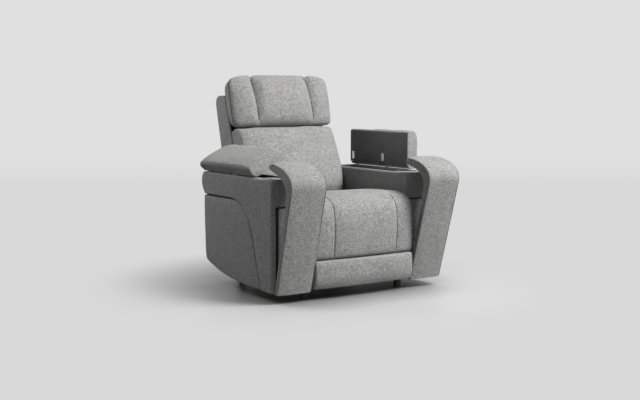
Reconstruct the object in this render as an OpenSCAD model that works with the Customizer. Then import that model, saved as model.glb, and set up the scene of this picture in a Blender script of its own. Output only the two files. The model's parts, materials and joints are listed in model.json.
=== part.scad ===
// Power recliner seat with scroll-front arms, a lidded storage tub in each arm,
// a tilting headrest and a chaise footrest. Millimetres, +Z up, front towards -Y.
// The origin is on the floor under the middle of the seat.

/* [Overall] */
// Depth from the nose of the arm scrolls to the rear of the back shell
overall_depth = 1116; // [1090:2:1150]
// Clear width between the two arms
gap_w = 616; // [600:2:640]
// Height of the glides that carry the base rails
foot_h = 60; // [50:1:66]
// Radius of a glide
foot_r = 20; // [16:1:24]

/* [Arms] */
// Width of one arm
arm_w = 190; // [182:1:200]
// Height of the arm's top
arm_h = 595; // [585:1:605]
// Distance from the arm's rear face to the rear of the back shell
arm_ahead = 216; // [205:1:228]
// Distance from the scroll's nose back to the arm's front face
arm_setback = 189; // [185:1:195]
// Clearance under the arm
arm_clear = 46; // [42:1:52]
// How far the arm's lower edge sweeps up at the rear
sweep_rise = 85; // [70:1:95]
// Length of that sweep
sweep_len = 570; // [520:5:590]
// Thickness of the arm's plywood
ply_t = 15; // [12:1:16]
// Thickness of the outer upholstery
outer_pad_t = 20; // [16:1:22]
// Thickness of the inner upholstery
inner_pad_t = 14; // [12:1:16]
// Thickness of the front upholstery
front_pad_t = 24; // [20:1:26]
// Thickness of the upholstered top deck
deck_t = 12; // [10:1:16]
// How far the upper rear of the arm bulges back
rear_bulge = 13; // [8:1:18]
// Distance from the arm's top down to the seam under the upper front pad
front_seam_below = 132; // [120:1:145]
// Inset of the lower front panel from the arm's faces
front_inset = 24; // [20:1:30]

/* [Side pad] */
// Distance from the arm's top down to the side pad's top seam
pad_top_below = 123; // [115:1:140]
// Radius of the seam's bend
seam_r = 220; // [190:5:235]
// Place of the seam's foot, behind the arm's front face
seam_foot = 112; // [100:1:130]
// Lean of the seam's straight run, in degrees
seam_lean = 17.5; // [15:0.5:20]
// Width of the groove along the seam
groove_w = 6; // [4:1:8]
// Height of the side pad's crown over its edge
side_crown = 4; // [2:1:6]

/* [Scroll] */
// Height of the scroll's top over the arm
scroll_rise = 84; // [65:1:90]
// Rearward reach of the scroll's free end
scroll_reach = 198; // [185:1:215]
// Thickness of the scroll's post
scroll_t = 38; // [32:1:44]
// Thickness of the scroll's free end
scroll_end_t = 22; // [18:1:28]
// Rise of the scroll's crown across its width
scroll_crown = 4; // [2:1:6]
// Lean of the post, in degrees
scroll_lean = 15.4; // [14.5:0.1:16]

/* [Arm storage] */
// Gap between the tub and the arm's plywood
tub_side_gap = 4; // [2:0.5:10]
// Distance from the cup holder's axis to the tub
tub_behind = 68; // [60:1:90]
// Depth of the tub under the deck's top
tub_depth = 122; // [100:1:128]
// Wall of the tub
tub_wall = 3; // [2:0.5:4]
// Inner radius of the cup holder
cup_r = 38; // [36:0.5:40]
// Depth of the cup holder
cup_depth = 68; // [60:1:76]
// Radius of the cup holder's rim
cup_rim_r = 48; // [46:0.5:50]
// Place of the cup holder, behind the arm's front face
cup_y = 79; // [74:1:84]

/* [Lids] */
// Distance from the cup holder's axis to a lid
lid_behind = 98; // [92:1:110]
// Thickness of the lid's board
lid_board_t = 8; // [6:1:10]
// Height of the padded lid over its underside
lid_t = 64; // [60:1:66]
// How far the sitter's right lid stands open at rest, in degrees
lid_ajar = 26; // [20:1:32]
// How far the sitter's left lid stands open at rest, in degrees
lid_open = 90; // [80:1:90]
// Height of the lid hinge's pin over the deck
lid_pin_rise = 29; // [27:0.5:31]
// Inset of the lid hinge's pin from the arm's outer face
lid_pin_inset = 18; // [16:0.5:20]
// Radius of the lid hinge's pin
lid_pin_r = 3; // [2.5:0.5:4]

/* [Seat] */
// Height of the seat's crown
seat_h = 516; // [505:1:525]
// Gap between the seat cushion and an arm
seat_side_gap = 8; // [8:0.5:16]
// How far the chaise front stands ahead of the arm's front face
seat_proud = 83; // [75:1:90]
// Distance from the rear of the seat cushion to the back's pivot
seat_ahead = 144; // [140:1:160]
// Rise of the seat's middle over its sides
seat_crown = 16; // [10:1:20]
// Thickness of the seat foam over the springs
seat_foam = 79; // [70:1:85]

/* [Footrest] */
// Depth of the footrest's hinge behind the chaise front
rest_pin_back = 22; // [18:1:26]
// Distance from the seat's crown down to the footrest's hinge
rest_pin_below = 58; // [54:1:61]
// Height of the chaise pad's lower edge
chaise_low_z = 198; // [185:1:215]
// Height of the front band's lower edge
band_low_z = 57; // [50:1:65]
// Gap between the chaise pad and the front band
band_gap = 3; // [2:1:6]
// Thickness of the chaise pad
chaise_t = 48; // [42:1:52]
// Radius of the hinge's pin
rest_pin_r = 2; // [1.5:0.5:2.5]
// Opening travel of the footrest, in degrees
rest_travel = 85; // [75:1:88]

/* [Back] */
// Place of the back's pivot, ahead of the shell's rear
back_pin_ahead = 296; // [290:1:302]
// Distance from the seat's crown down to the back's pivot
back_pin_below = 178; // [174:1:182]
// Lean of the back, in degrees
back_lean = 18.5; // [17:0.5:20]
// Reclining travel of the back, in degrees
back_travel = 35; // [30:1:38]
// Gap between the back cushion and an arm
back_side_gap = 10; // [8:0.5:16]
// Thickness of the back cushion at its foot
back_t = 152; // [140:1:156]
// Gap between the shell and an arm
shell_side_gap = 3; // [2:0.5:5]
// Height of the shell's top over the back's pivot
shell_rise = 653; // [640:1:665]
// Wall of the back shell
shell_wall = 13; // [10:1:13]

/* [Headrest] */
// How far the headrest stays inside the clear width, on each side
head_side_gap = 4; // [4:0.5:14]
// Length of the headrest along the back
head_len = 284; // [270:1:295]
// Thickness of the headrest
head_t = 124; // [112:1:128]
// Half the distance between the two sewn channels
channel_x = 177; // [150:1:200]
// Depth of a sewn channel
channel_d = 15; // [8:1:18]
// Forward tilt of the headrest, in degrees
head_travel = 25; // [20:1:30]

/* [Controls] */
// Length of the control panel
panel_len = 84; // [80:1:100]
// Height of the control panel
panel_h = 40; // [34:1:46]
// Radius of a button
button_r = 6; // [5:0.5:7]
// Travel of a button
button_travel = 1.2; // [0.8:0.1:1.5]

/* [Hidden] */

// Shared clearances and overruns
over = 1;
soft_gap = 0.3;
run_gap = 0.05;
slide_gap = 0.3;
edge_t = 3;

// Widths and heights that follow the seat and the arms
seat_w = gap_w - 2 * seat_side_gap;
back_w = gap_w - 2 * back_side_gap;
shell_w = gap_w - 2 * shell_side_gap;
head_w = gap_w - 2 * head_side_gap;
back_pin_z = seat_h - back_pin_below;
shell_h = back_pin_z + shell_rise;
scroll_h = arm_h + scroll_rise;
pad_top_z = arm_h - pad_top_below;
front_seam_z = arm_h - front_seam_below;

// Faces of the right-hand arm, counted from the middle of the seat
in_face = gap_w / 2;
in_ply = in_face + inner_pad_t;
in_wall = in_ply + ply_t;
out_face = in_face + arm_w;
out_ply = out_face - outer_pad_t;
out_wall = out_ply - ply_t;
front_y = -overall_depth / 2 + arm_setback;
rear_y = overall_depth / 2 - arm_ahead;
ply_front = front_y + front_pad_t;
ply_rear = rear_y - ply_t;
ply_top = arm_h - deck_t;
arm_mid = (in_wall + out_wall) / 2;

// Arm interior
cup_at_y = front_y + cup_y;
tub_w = out_wall - in_wall - 2 * tub_side_gap - 2 * tub_wall;
tub_y = cup_at_y + tub_behind;
tub_len = rear_y - 2 * ply_t - tub_wall - over - tub_y;
board_inset = 6;
floor_z = arm_h - tub_depth - tub_wall - ply_t;
foot_block_side = 40;
foot_block_w = arm_w - 2 * foot_block_side;
foot_block_z = 62;

// Base and seat frame sections
rail_w = 30;
rail_h = 40;
base_z = foot_h;
base_top = base_z + rail_h;
base_front = ply_front + board_inset;
seat_rail_z = seat_h - seat_foam - rail_h + edge_t;
seat_rail_top = seat_rail_z + rail_h - edge_t - over;
rail_x = in_face - rail_w;

// Footrest hinge and its four-bar linkage
chaise_front = front_y - seat_proud;
rest_y = chaise_front + rest_pin_back;
rest_z = seat_h - rest_pin_below;
leaf_t = 2;
knuckle_r = rest_pin_r + leaf_t;
board_front = chaise_front + chaise_t;
board_back = board_front + ply_t;
bar_y = 180;
bar_z = -130;
crank_y = 90;
crank_z = -110;
tube_y = rest_y + bar_y;
tube_z = rest_z + bar_z;
rail_gap = 9;
rail_front = board_back + rail_gap;
link_inset = 78;
link_x = rail_x - link_inset;
link_t = 6;
link_pin_r = 6;
eye_r = 14;
open_gap = 1.5;

// Back, measured along and across its leaning line from the pivot
pivot_y = overall_depth / 2 - back_pin_ahead;
base_behind = 54;
base_rear = pivot_y + base_behind;
upright_w = 20;
upright_d = 36;
upright_inset = 28;
upright_x = rail_x - upright_inset;
upright_len = 640;
panel_t = 6;
wing_in = shell_w / 2 - shell_wall;
head_foot = 484;
head_pin_fore = 96;
head_pin_n = -head_pin_fore;
head_pin_below = 9;
head_pin_s = head_foot - head_pin_below;
head_pin_r = 2.5;

function lerp(a, b, t) = a + (b - a) * t;
// Even steps from -1 to 1, drawn together towards both ends
function steps(n) = [for (i = [0:n]) -cos(180 * i / n)];
// 1 in the middle and 0 at the edge, rounder for a small power
function falloff(u, power) = pow(max(0, 1 - pow(abs(u), power)), 1 / power);
function arc_points(centre, r, from, to, n) =
    [for (i = [0:n]) centre + r * [cos(lerp(from, to, i / n)), sin(lerp(from, to, i / n))]];
function bezier(a, b, c, d, t) =
    pow(1 - t, 3) * a + 3 * pow(1 - t, 2) * t * b + 3 * (1 - t) * t * t * c + pow(t, 3) * d;

// Triangles of one face of a slab, which has n columns of points
function face_grid(n, m, first, flip) = [
    for (j = [0:m - 2]) for (i = [0:n - 2])
        let (a = first + j * n + i, b = a + 1, c = a + n + 1, d = a + n)
            each flip ? [[a, b, c], [a, c, d]] : [[a, c, b], [a, d, c]]
];
function rim_path(n, m) = concat(
    [for (i = [0:n - 2]) i],
    [for (j = [0:m - 2]) j * n + n - 1],
    [for (i = [n - 1:-1:1]) (m - 1) * n + i],
    [for (j = [m - 1:-1:1]) j * n]
);
// Closed solid between two surfaces; front lies on the side that us x vs points to
module slab(front, back, us, vs) {
    n = len(us);
    m = len(vs);
    count = n * m;
    rim = rim_path(n, m);
    points = concat([for (v = vs) for (u = us) front(u, v)], [for (v = vs) for (u = us) back(u, v)]);
    walls = [
        for (k = [0:len(rim) - 1])
            let (a = rim[k], b = rim[(k + 1) % len(rim)])
                each [[a, b, b + count], [a, b + count, a + count]]
    ];
    polyhedron(points, concat(face_grid(n, m, 0, false), face_grid(n, m, count, true), walls));
}

module block(low, high) {
    translate(low) cube(high - low);
}
// A plate whose outline is drawn in y and z, from x along +X
module plate_x(x, t) {
    translate([x, 0, 0]) rotate([90, 0, 90]) linear_extrude(t) children();
}
module rod_x(x, y, z, r, length) {
    translate([x, y, z]) rotate([0, 90, 0]) cylinder(r = r, h = length, $fn = 48);
}
module rod_y(x, y, z, r, length) {
    translate([x, y, z]) rotate([-90, 0, 0]) cylinder(r = r, h = length, $fn = 48);
}
module disc_2d(y, z, r) {
    translate([y, z]) circle(r = r, $fn = 48);
}
// Draws a piece of the right-hand (+X) arm, or its mirror image
module on_side(side) {
    mirror([side < 0 ? 1 : 0, 0, 0]) children();
}
module both_sides() {
    for (side = [-1, 1]) on_side(side) children();
}

// Base
cross_ahead = 80;
cross_behind = 110;
post_ahead = 112;
cross_front = tube_y + cross_ahead;
cross_mid = pivot_y - cross_behind;
post_rear = pivot_y - post_ahead;
post_w = 14;
module base_frame() {
    color("dimgray") {
        both_sides() block([rail_x, base_front, base_z], [in_face, base_rear, base_top]);
        for (y = [base_front, cross_front, cross_mid, base_rear - rail_w])
            block([-rail_x, y, base_z], [rail_x, y + rail_w, base_top]);
        both_sides() for (y = [base_front, post_rear])
            block([rail_x, y, base_top], [in_face, y + rail_w, seat_rail_z]);
        for (at = [[rest_motor_x, base_front], [rest_motor_x, cross_front]])
            block([at[0] - post_w, at[1], base_top], [at[0] + post_w, at[1] + rail_w, rest_rail_z]);
        for (at = [[back_motor_x, cross_mid], [back_motor_x, base_rear - rail_w]])
            block([at[0] - post_w, at[1], base_top], [at[0] + post_w, at[1] + rail_w, back_rail_z]);
    }
}

module feet() {
    color("black") both_sides() for (y = [base_front + rail_w / 2, base_rear - rail_w / 2])
        translate([in_face - soft_gap - foot_r, y, 0]) cylinder(r = foot_r, h = foot_h, $fn = 48);
}

rear_panel_h = 205;
rear_panel_t = 12;
module rear_panel() {
    color("gray") difference() {
        block([-in_face, base_rear, base_z], [in_face, base_rear + rear_panel_t, base_z + rear_panel_h]);
        rod_y(inlet_x, base_rear - over, inlet_z, inlet_r, rear_panel_t + 2 * over);
    }
}
inlet_x = -170;
inlet_z = base_top + rail_h;
inlet_r = 11;
inlet_flange_r = 15;
inlet_flange_t = 2;
inlet_bore_r = 4;
module power_inlet() {
    color("black") difference() {
        union() {
            rod_y(inlet_x, base_rear, inlet_z, inlet_r, rear_panel_t);
            rod_y(inlet_x, base_rear + rear_panel_t, inlet_z, inlet_flange_r, inlet_flange_t);
        }
        rod_y(inlet_x, base_rear + inlet_flange_t, inlet_z, inlet_bore_r, rear_panel_t + over);
    }
}
supply_x = 110;
supply_w = 80;
supply_len = 110;
supply_h = 40;
module power_supply() {
    supply_rear = cross_mid + rail_w;
    color("black") block([supply_x, supply_rear - supply_len, base_top],
        [supply_x + supply_w, supply_rear, base_top + supply_h]);
}

// Seat
hanger_t = 6;
hanger_x = rail_x - hanger_t;
hanger_half = 26;
tube_r = 14;
bearing_wall = 8;
bearing_r = tube_r + bearing_wall;
pivot_r = 8;
pivot_eye = 20;
pivot_plate_x = rail_x + hanger_t;
seat_rail_ahead = 52;
seat_rail_rear = pivot_y - seat_rail_ahead;
front_rail_top = rest_z + over;
module seat_frame() {
    color("dimgray") {
        both_sides() {
            block([rail_x, rail_front, seat_rail_z], [in_face, seat_rail_rear, seat_rail_top]);
            difference() {
                plate_x(hanger_x, hanger_t) union() {
                    polygon([
                        [tube_y - hanger_half, seat_rail_top],
                        [tube_y - bearing_r, tube_z],
                        [tube_y + bearing_r, tube_z],
                        [tube_y + hanger_half, seat_rail_top]
                    ]);
                    disc_2d(tube_y, tube_z, bearing_r);
                }
                rod_x(hanger_x - over, tube_y, tube_z, tube_r + run_gap, hanger_t + 2 * over);
            }
            plate_x(pivot_plate_x, hanger_t) union() {
                polygon([
                    [post_rear + rail_w, seat_rail_z],
                    [pivot_y - pivot_eye, back_pin_z],
                    [pivot_y + pivot_eye, back_pin_z],
                    [seat_rail_rear, seat_rail_z]
                ]);
                disc_2d(pivot_y, back_pin_z, pivot_eye);
            }
            rod_x(upright_x, pivot_y, back_pin_z, pivot_r, pivot_plate_x + over - upright_x);
        }
        block([-rail_x, rail_front, seat_rail_z], [rail_x, rail_front + rail_w, front_rail_top]);
        block([-rail_x, seat_rail_rear - rail_w, seat_rail_z], [rail_x, seat_rail_rear, seat_rail_top]);
    }
}

spring_count = 5;
spring_pitch = 100;
spring_wire = 4;
spring_half_w = 22;
spring_waves = 9;
spring_from = rail_front + rail_w;
spring_to = seat_rail_rear - rail_w;
// One side of the wire's wave, from the front rail to the rear rail
function wave_side(shift) = [
    for (i = [0:spring_waves * 4])
        let (t = i / (spring_waves * 4), swing = sin(t * spring_waves * 360))
            [spring_half_w * swing + shift * spring_wire / 2, lerp(spring_from, spring_to, t)]
];
module seat_springs() {
    color("silver") for (i = [0:spring_count - 1])
        translate([(i - (spring_count - 1) / 2) * spring_pitch, 0, seat_rail_top - spring_wire])
            linear_extrude(spring_wire)
                polygon(concat(wave_side(1), [for (i = [spring_waves * 4:-1:0]) wave_side(-1)[i]]));
}

// Seat cushion: its top falls over the nose, its underside steps up over the hinge
edge_round = 22;
round_power = 14;
seat_nose = rest_y + edge_t;
nose_under = rest_z + leaf_t + over + soft_gap;
seat_under = seat_rail_top + soft_gap;
seat_step = rail_front + rail_w + edge_t;
// Share of the fall below the crown, along the seat from nose to rear
seat_fall_shares = [[0, 1], [0.012, 0.72], [0.035, 0.48], [0.08, 0.24], [0.15, 0.08], [0.25, 0],
    [0.4, 0.1], [0.55, 0.24], [0.7, 0.4], [0.82, 0.55], [0.93, 0.71], [0.985, 0.84], [1, 0.93]];
seat_fall = seat_h - nose_under - edge_t;
function seat_side(u) = pow(abs(u), 3);
function seat_x(u) = seat_w / 2 * u;
function seat_front_y(u) = seat_nose + seat_crown * seat_side(u);
function seat_y(u, t) = lerp(seat_front_y(u), seat_nose + seat_len, t);
function seat_top_z(u, t) = seat_h - seat_fall * lookup(t, seat_fall_shares)
    - seat_crown * seat_side(u) * (1 - lookup(t, seat_fall_shares))
    - edge_round * (1 - falloff(u, round_power)) * (1 - lookup(t, seat_fall_shares));
seat_u_shares = [-1, -0.985, -0.95, -0.88, -0.75, -0.5, -0.25, 0, 0.25, 0.5, 0.75, 0.88, 0.95, 0.985, 1];
seat_len = pivot_y - seat_ahead - seat_nose;
step_share = (seat_step - seat_nose) / seat_len;
seat_t_shares = [0, 0.012, 0.035, 0.08, 0.11, step_share, step_share * 1.05, 0.25, 0.4, 0.55, 0.7, 0.82,
    0.93, 0.985, 1];
module seat_cushion() {
    color("darkgray") slab(
        function(u, t) [seat_x(u), seat_y(u, t), seat_top_z(u, t)],
        function(u, t) [seat_x(u), seat_y(u, t), t > step_share ? seat_under : nose_under],
        seat_u_shares, seat_t_shares
    );
}

// Arms
rear_low_y = rear_y - 2 * rear_bulge;
arm_sweep_from = rear_low_y - sweep_len;
sweep_power = 2.5;
// Height of the arm's lower edge
function hem_z(y, inset) = arm_clear + inset
    + sweep_rise * pow(max(0, min(1, (y - arm_sweep_from) / sweep_len)), sweep_power);
hem_steps = 12;
function hem_points(from, to, inset) =
    [for (i = [0:hem_steps]) let (y = lerp(from, to, i / hem_steps)) [y, hem_z(y, inset)]];
module board_outline() {
    polygon(concat(
        hem_points(ply_front, rear_low_y - board_inset, board_inset),
        [[ply_rear, pad_top_z], [ply_rear, ply_top], [ply_front, ply_top]]
    ));
}
// Outline of the side pad, grown by a gap
seam_y0 = front_y + seam_foot;
seam_cz = pad_top_z - seam_r;
seam_cy = seam_y0 + (seam_r + (seam_cz - arm_clear) * sin(seam_lean)) / cos(seam_lean);
// Place of the seam at a height
function seam_y(z) = z > seam_cz + seam_r * sin(seam_lean)
    ? seam_cy - sqrt(max(0, seam_r * seam_r - pow(z - seam_cz, 2)))
    : seam_y0 + (z - arm_clear) * tan(seam_lean);
seam_steps = 14;
function grown_seam(gap) = concat(
    arc_points([seam_cy, seam_cz], seam_r + gap, 90, 180 - seam_lean, seam_steps),
    [[seam_y0 - gap / cos(seam_lean) - foot_block_z * tan(seam_lean), arm_clear - foot_block_z]]
);
module arm_frame(side) {
    color("burlywood") on_side(side) {
        for (x = [in_ply, out_wall]) plate_x(x, ply_t) board_outline();
        difference() {
            block([in_wall, ply_front, arm_clear + board_inset], [out_wall, ply_front + ply_t, ply_top]);
            translate([arm_mid, cup_at_y, 0]) cylinder(r = cup_hole_r, h = arm_h, $fn = 48);
        }
        block([in_wall, ply_rear - ply_t, arm_clear + sweep_rise + ply_t], [out_wall, ply_rear, ply_top]);
        block([in_wall, ply_front + ply_t, floor_z], [out_wall, ply_rear - ply_t, floor_z + ply_t]);
    }
}
bulge_shares = [0.06, 0.26, 0.6, 0.88];
bulge_power = 2.5;
module arm_outer_panel(side) {
    color("darkgray") on_side(side) plate_x(out_ply, outer_pad_t) difference() {
        polygon(concat(
            hem_points(front_y, rear_low_y, 0),
            [[rear_y - rear_bulge, pad_top_z]],
            [for (s = bulge_shares)
                [rear_y + rear_bulge * falloff(2 * s - 1, bulge_power), lerp(pad_top_z, ply_top, s)]],
            [[rear_y, ply_top], [front_y, ply_top]]
        ));
        polygon(concat(
            [[rear_y + outer_pad_t, arm_clear - foot_block_z], [rear_y + outer_pad_t, pad_top_z + groove_w]],
            grown_seam(groove_w)
        ));
    }
}
// Side pad, crowned and drawn in along its edges
function pad_rear(z) = lerp(rear_low_y, rear_y - rear_bulge, (z - arm_clear) / (pad_top_z - arm_clear));
function pad_z(s, t) = let (foot = hem_z(lerp(seam_y0, rear_low_y, s), 0)) lerp(foot, pad_top_z, t);
function pad_y(s, t) = lerp(seam_y(pad_z(s, t)), pad_rear(pad_z(s, t)), s);
pad_edge = 10;
pad_power = 6;
pad_steps = 12;
function pad_x(u, v) = out_ply + pad_edge
    + (outer_pad_t - pad_edge) * falloff(u, pad_power) * falloff(v, pad_power)
    + side_crown * (1 - u * u) * (1 - v * v) - side_crown;
module arm_side_pad(side) {
    color("gray") on_side(side) slab(
        function(u, v) let (s = (u + 1) / 2, t = (v + 1) / 2) [pad_x(u, v), pad_y(s, t), pad_z(s, t)],
        function(u, v) let (s = (u + 1) / 2, t = (v + 1) / 2) [out_ply, pad_y(s, t), pad_z(s, t)],
        steps(pad_steps), steps(pad_steps)
    );
}
module arm_inner_panel(side) {
    color("darkgray") on_side(side) plate_x(in_face, inner_pad_t)
        polygon(concat(hem_points(front_y, rear_low_y, board_inset), [[rear_y, pad_top_z],
            [rear_y, ply_top], [front_y, ply_top]]));
}
module arm_front_pad(side) {
    color("darkgray") on_side(side)
        block([in_ply, front_y, front_seam_z], [out_ply, ply_front, ply_top]);
}
panel_step = 12;
module arm_front_panel(side) {
    color("darkgray") on_side(side) block(
        [in_face + front_inset, front_y + panel_step, arm_clear + foot_block_z + over],
        [out_ply - edge_t, ply_front, front_seam_z - groove_w]);
}
module arm_top_deck(side) {
    color("darkgray") on_side(side) difference() {
        block([in_face, front_y, ply_top], [out_face, rear_y, arm_h]);
        block([arm_mid - tub_w / 2, tub_y, ply_top - over],
            [arm_mid + tub_w / 2, tub_y + tub_len, arm_h + over]);
        translate([arm_mid, cup_at_y, ply_top - over])
            cylinder(r = cup_hole_r, h = deck_t + 2 * over, $fn = 48);
    }
}

module arm_rear_panel(side) {
    color("gray") on_side(side)
        block([in_ply, ply_rear, arm_clear + sweep_rise + ply_t], [out_ply, rear_y - edge_t, ply_top]);
}

// Scroll: a padded post that leans forward and curls back over the arm
nose_y = -overall_depth / 2;
scroll_foot = 47;
knee_drop = 120;
knee_z = scroll_h - knee_drop;
knee_shift = (knee_z - arm_clear) * tan(scroll_lean);
knee_y = front_y - scroll_foot - knee_shift;
nose_swell = 17;
tip_y = nose_y + scroll_reach;
tip_z = scroll_h;
nose_pull = 110;
inner_pull = 80;
straight_share = 0.4;
nose_share = 0.62;
inner_nose_share = 0.56;
foot_t = 26;
inner_knee = [knee_y + scroll_t + nose_swell, knee_z - nose_swell - scroll_t - edge_t];
function straight_part(t) = t / straight_share;
function curled_part(t) = (t - straight_share) / (1 - straight_share);
function outer_curve(t) = t <= straight_share
    ? lerp([knee_y + knee_shift, arm_clear], [knee_y, knee_z], straight_part(t))
    : bezier([knee_y, knee_z], [knee_y - nose_swell, lerp(knee_z, tip_z, nose_share)],
        [tip_y - nose_pull, tip_z - edge_t], [tip_y, tip_z], curled_part(t));
function inner_curve(t) = t <= straight_share
    ? lerp([knee_y + knee_shift + foot_t, arm_clear], inner_knee, straight_part(t))
    : bezier(inner_knee, [inner_knee[0] - nose_swell - edge_t, lerp(inner_knee[1], tip_z, inner_nose_share)],
        [tip_y - inner_pull, tip_z - 2 * scroll_end_t], [tip_y, tip_z - scroll_end_t], curled_part(t));
scroll_t_shares = [0, 0.1, 0.2, 0.3, 0.4, 0.46, 0.52, 0.58, 0.64, 0.7, 0.76, 0.82, 0.88, 0.94, 1];
scroll_u_shares = [-1, -0.95, -0.7, 0, 0.7, 0.95, 1];
scroll_shift = nose_y - min([for (t = scroll_t_shares) outer_curve(t)[0]]);
// Point of the scroll's outer face; the crown drops towards the welts
function scroll_front(u, t) =
    let (a = outer_curve(t), b = inner_curve(t),
         c = a + scroll_crown * pow(abs(u), 3) * (b - a) / norm(b - a))
        [arm_mid + arm_w / 2 * u, c[0] + scroll_shift, c[1]];
function scroll_rear(u, t) =
    let (b = inner_curve(t)) [arm_mid + arm_w / 2 * u, b[0] + scroll_shift, b[1]];
module arm_scroll(side) {
    foot_y = knee_y + knee_shift + scroll_shift + nose_swell / 2;
    color("darkgray") on_side(side) {
        slab(function(u, t) scroll_front(u, t), function(u, t) scroll_rear(u, t),
            scroll_u_shares, scroll_t_shares);
        block([arm_mid - foot_block_w / 2, foot_y, arm_clear],
            [arm_mid + foot_block_w / 2, ply_front, arm_clear + foot_block_z]);
    }
}

// Cup holder and tub
cup_wall = 2;
cup_hole_r = cup_r + cup_wall + soft_gap;
rim_t = 3;
module cup_holder(side) {
    color("silver") on_side(side) translate([arm_mid, cup_at_y, arm_h]) rotate_extrude($fn = 64)
        polygon([
            [0, -cup_depth - cup_wall], [cup_r + cup_wall, -cup_depth - cup_wall], [cup_r + cup_wall, 0],
            [cup_rim_r, 0], [cup_rim_r - rim_t, rim_t], [cup_r, rim_t], [cup_r, -cup_depth], [0, -cup_depth]
        ]);
}
module storage_tub(side) {
    low = [arm_mid - tub_w / 2, tub_y, arm_h - tub_depth];
    color("black") on_side(side) difference() {
        block(low - tub_wall * [1, 1, 1],
            [arm_mid + tub_w / 2 + tub_wall, tub_y + tub_len + tub_wall, ply_top]);
        block(low, [arm_mid + tub_w / 2, tub_y + tub_len, arm_h]);
    }
}

// Lids, drawn closed and then turned about their pins to the rest pose
pin_x = out_face - lid_pin_inset;
pin_z = arm_h + lid_pin_rise;
lid_low = arm_h + edge_t;
lid_in = in_face + soft_gap + over / 4;
lid_board_out = 10;
lid_out = pin_x + lid_board_out;
lid_y = cup_at_y + lid_behind;
lid_len = rear_y - edge_t - lid_y;
lid_rise = lid_t + lid_low - pin_z;
lid_over = lid_rise * (1 - sin(lid_ajar)) / cos(lid_ajar);
lid_side_in = 2;
hinge_from_front = 219;
hinge_from_rear = 32;
hinge_places = [lid_y + hinge_from_front, lid_y + lid_len - hinge_from_rear];
hinge_plate = 3;
hinge_gap = 0.5;
hinge_eye = 7;
notch_half = 6;
notch_gap = 1.5;
strap_w = 20;
strap_len = 42;
module lid_turn(side) {
    translate([pin_x, 0, pin_z]) rotate([0, side < 0 ? lid_ajar : lid_open, 0])
        translate([-pin_x, 0, -pin_z]) children();
}
// A plate across the pin, between two places along it
module hinge_tongue(y, t, foot_z) {
    translate([0, y + t, 0]) rotate([90, 0, 0]) linear_extrude(t) {
        disc_2d(pin_x, pin_z, hinge_eye);
        translate([pin_x - hinge_eye, foot_z]) square([2 * hinge_eye, pin_z - foot_z]);
    }
}
module lid_notches() {
    for (y = hinge_places)
        block([pin_x - hinge_eye - notch_gap, y - notch_half, lid_low - over],
            [out_face + ply_t, y + notch_half, pin_z + hinge_eye + notch_gap]);
}
module lid_brackets() {
    color("silver") both_sides() for (y = hinge_places) difference() {
        hinge_tongue(y - hinge_plate - hinge_gap, hinge_plate, arm_h);
        rod_y(pin_x, y - notch_half, pin_z, lid_pin_r + run_gap, 2 * notch_half);
    }
}
module lid_hinges(side) {
    color("silver") on_side(side) lid_turn(side) for (y = hinge_places) {
        hinge_tongue(y + hinge_gap, hinge_plate, lid_low - leaf_t);
        block([pin_x - hinge_eye - strap_len, y - strap_w / 2, lid_low - leaf_t],
            [pin_x - hinge_eye - 2 * hinge_gap, y + strap_w / 2, lid_low]);
        block([pin_x - 2 * hinge_eye, y + hinge_gap, lid_low - leaf_t],
            [pin_x, y + hinge_gap + hinge_plate, lid_low]);
        rod_y(pin_x, y - hinge_plate - 2 * hinge_gap, pin_z, lid_pin_r, 2 * hinge_plate + 2 * hinge_gap);
    }
}
module lid_board(side) {
    color("darkslategray") on_side(side) lid_turn(side) difference() {
        block([lid_in, lid_y, lid_low], [lid_out, lid_y + lid_len, lid_low + lid_board_t]);
        lid_notches();
    }
}
// Share of the padding's height, from the inner edge to the outer crease
lid_height_shares = [[-1, 0.6], [-0.975, 0.8], [-0.9, 0.92], [-0.7, 0.98], [-0.3, 1],
    [0.2, 1], [0.7, 1], [1, 1]];
lid_u_shares = [-1, -0.975, -0.9, -0.7, -0.3, 0.2, 0.7, 0.9, 1];
lid_v_shares = [-1, -0.985, -0.94, -0.84, -0.6, -0.2, 0.2, 0.6, 0.84, 0.94, 0.985, 1];
lid_end_share = 0.3;
lid_end_power = 7;
lid_over_share = 0.9;
function lid_pad_x(u) = u < lid_over_share ? lerp(lid_in, pin_x, (u + 1) / (1 + lid_over_share))
    : lerp(pin_x, pin_x + lid_over, (u - lid_over_share) / (1 - lid_over_share));
function lid_pad_y(v) = lid_y + lid_len * (v + 1) / 2;
function lid_pad_top(u, v) = lid_low + lid_board_t + (lid_t - lid_board_t) * lookup(u, lid_height_shares)
    * (1 - lid_end_share * (1 - falloff(v, lid_end_power)));
module lid_pad(side) {
    color("darkgray") on_side(side) lid_turn(side) difference() {
        slab(
            function(u, v) [lid_pad_x(u), lid_pad_y(v), lid_pad_top(u, v)],
            function(u, v) [lid_pad_x(u) - (u == 1 ? lid_side_in : 0), lid_pad_y(v), lid_low + lid_board_t],
            lid_u_shares, lid_v_shares
        );
        lid_notches();
    }
}

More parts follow.
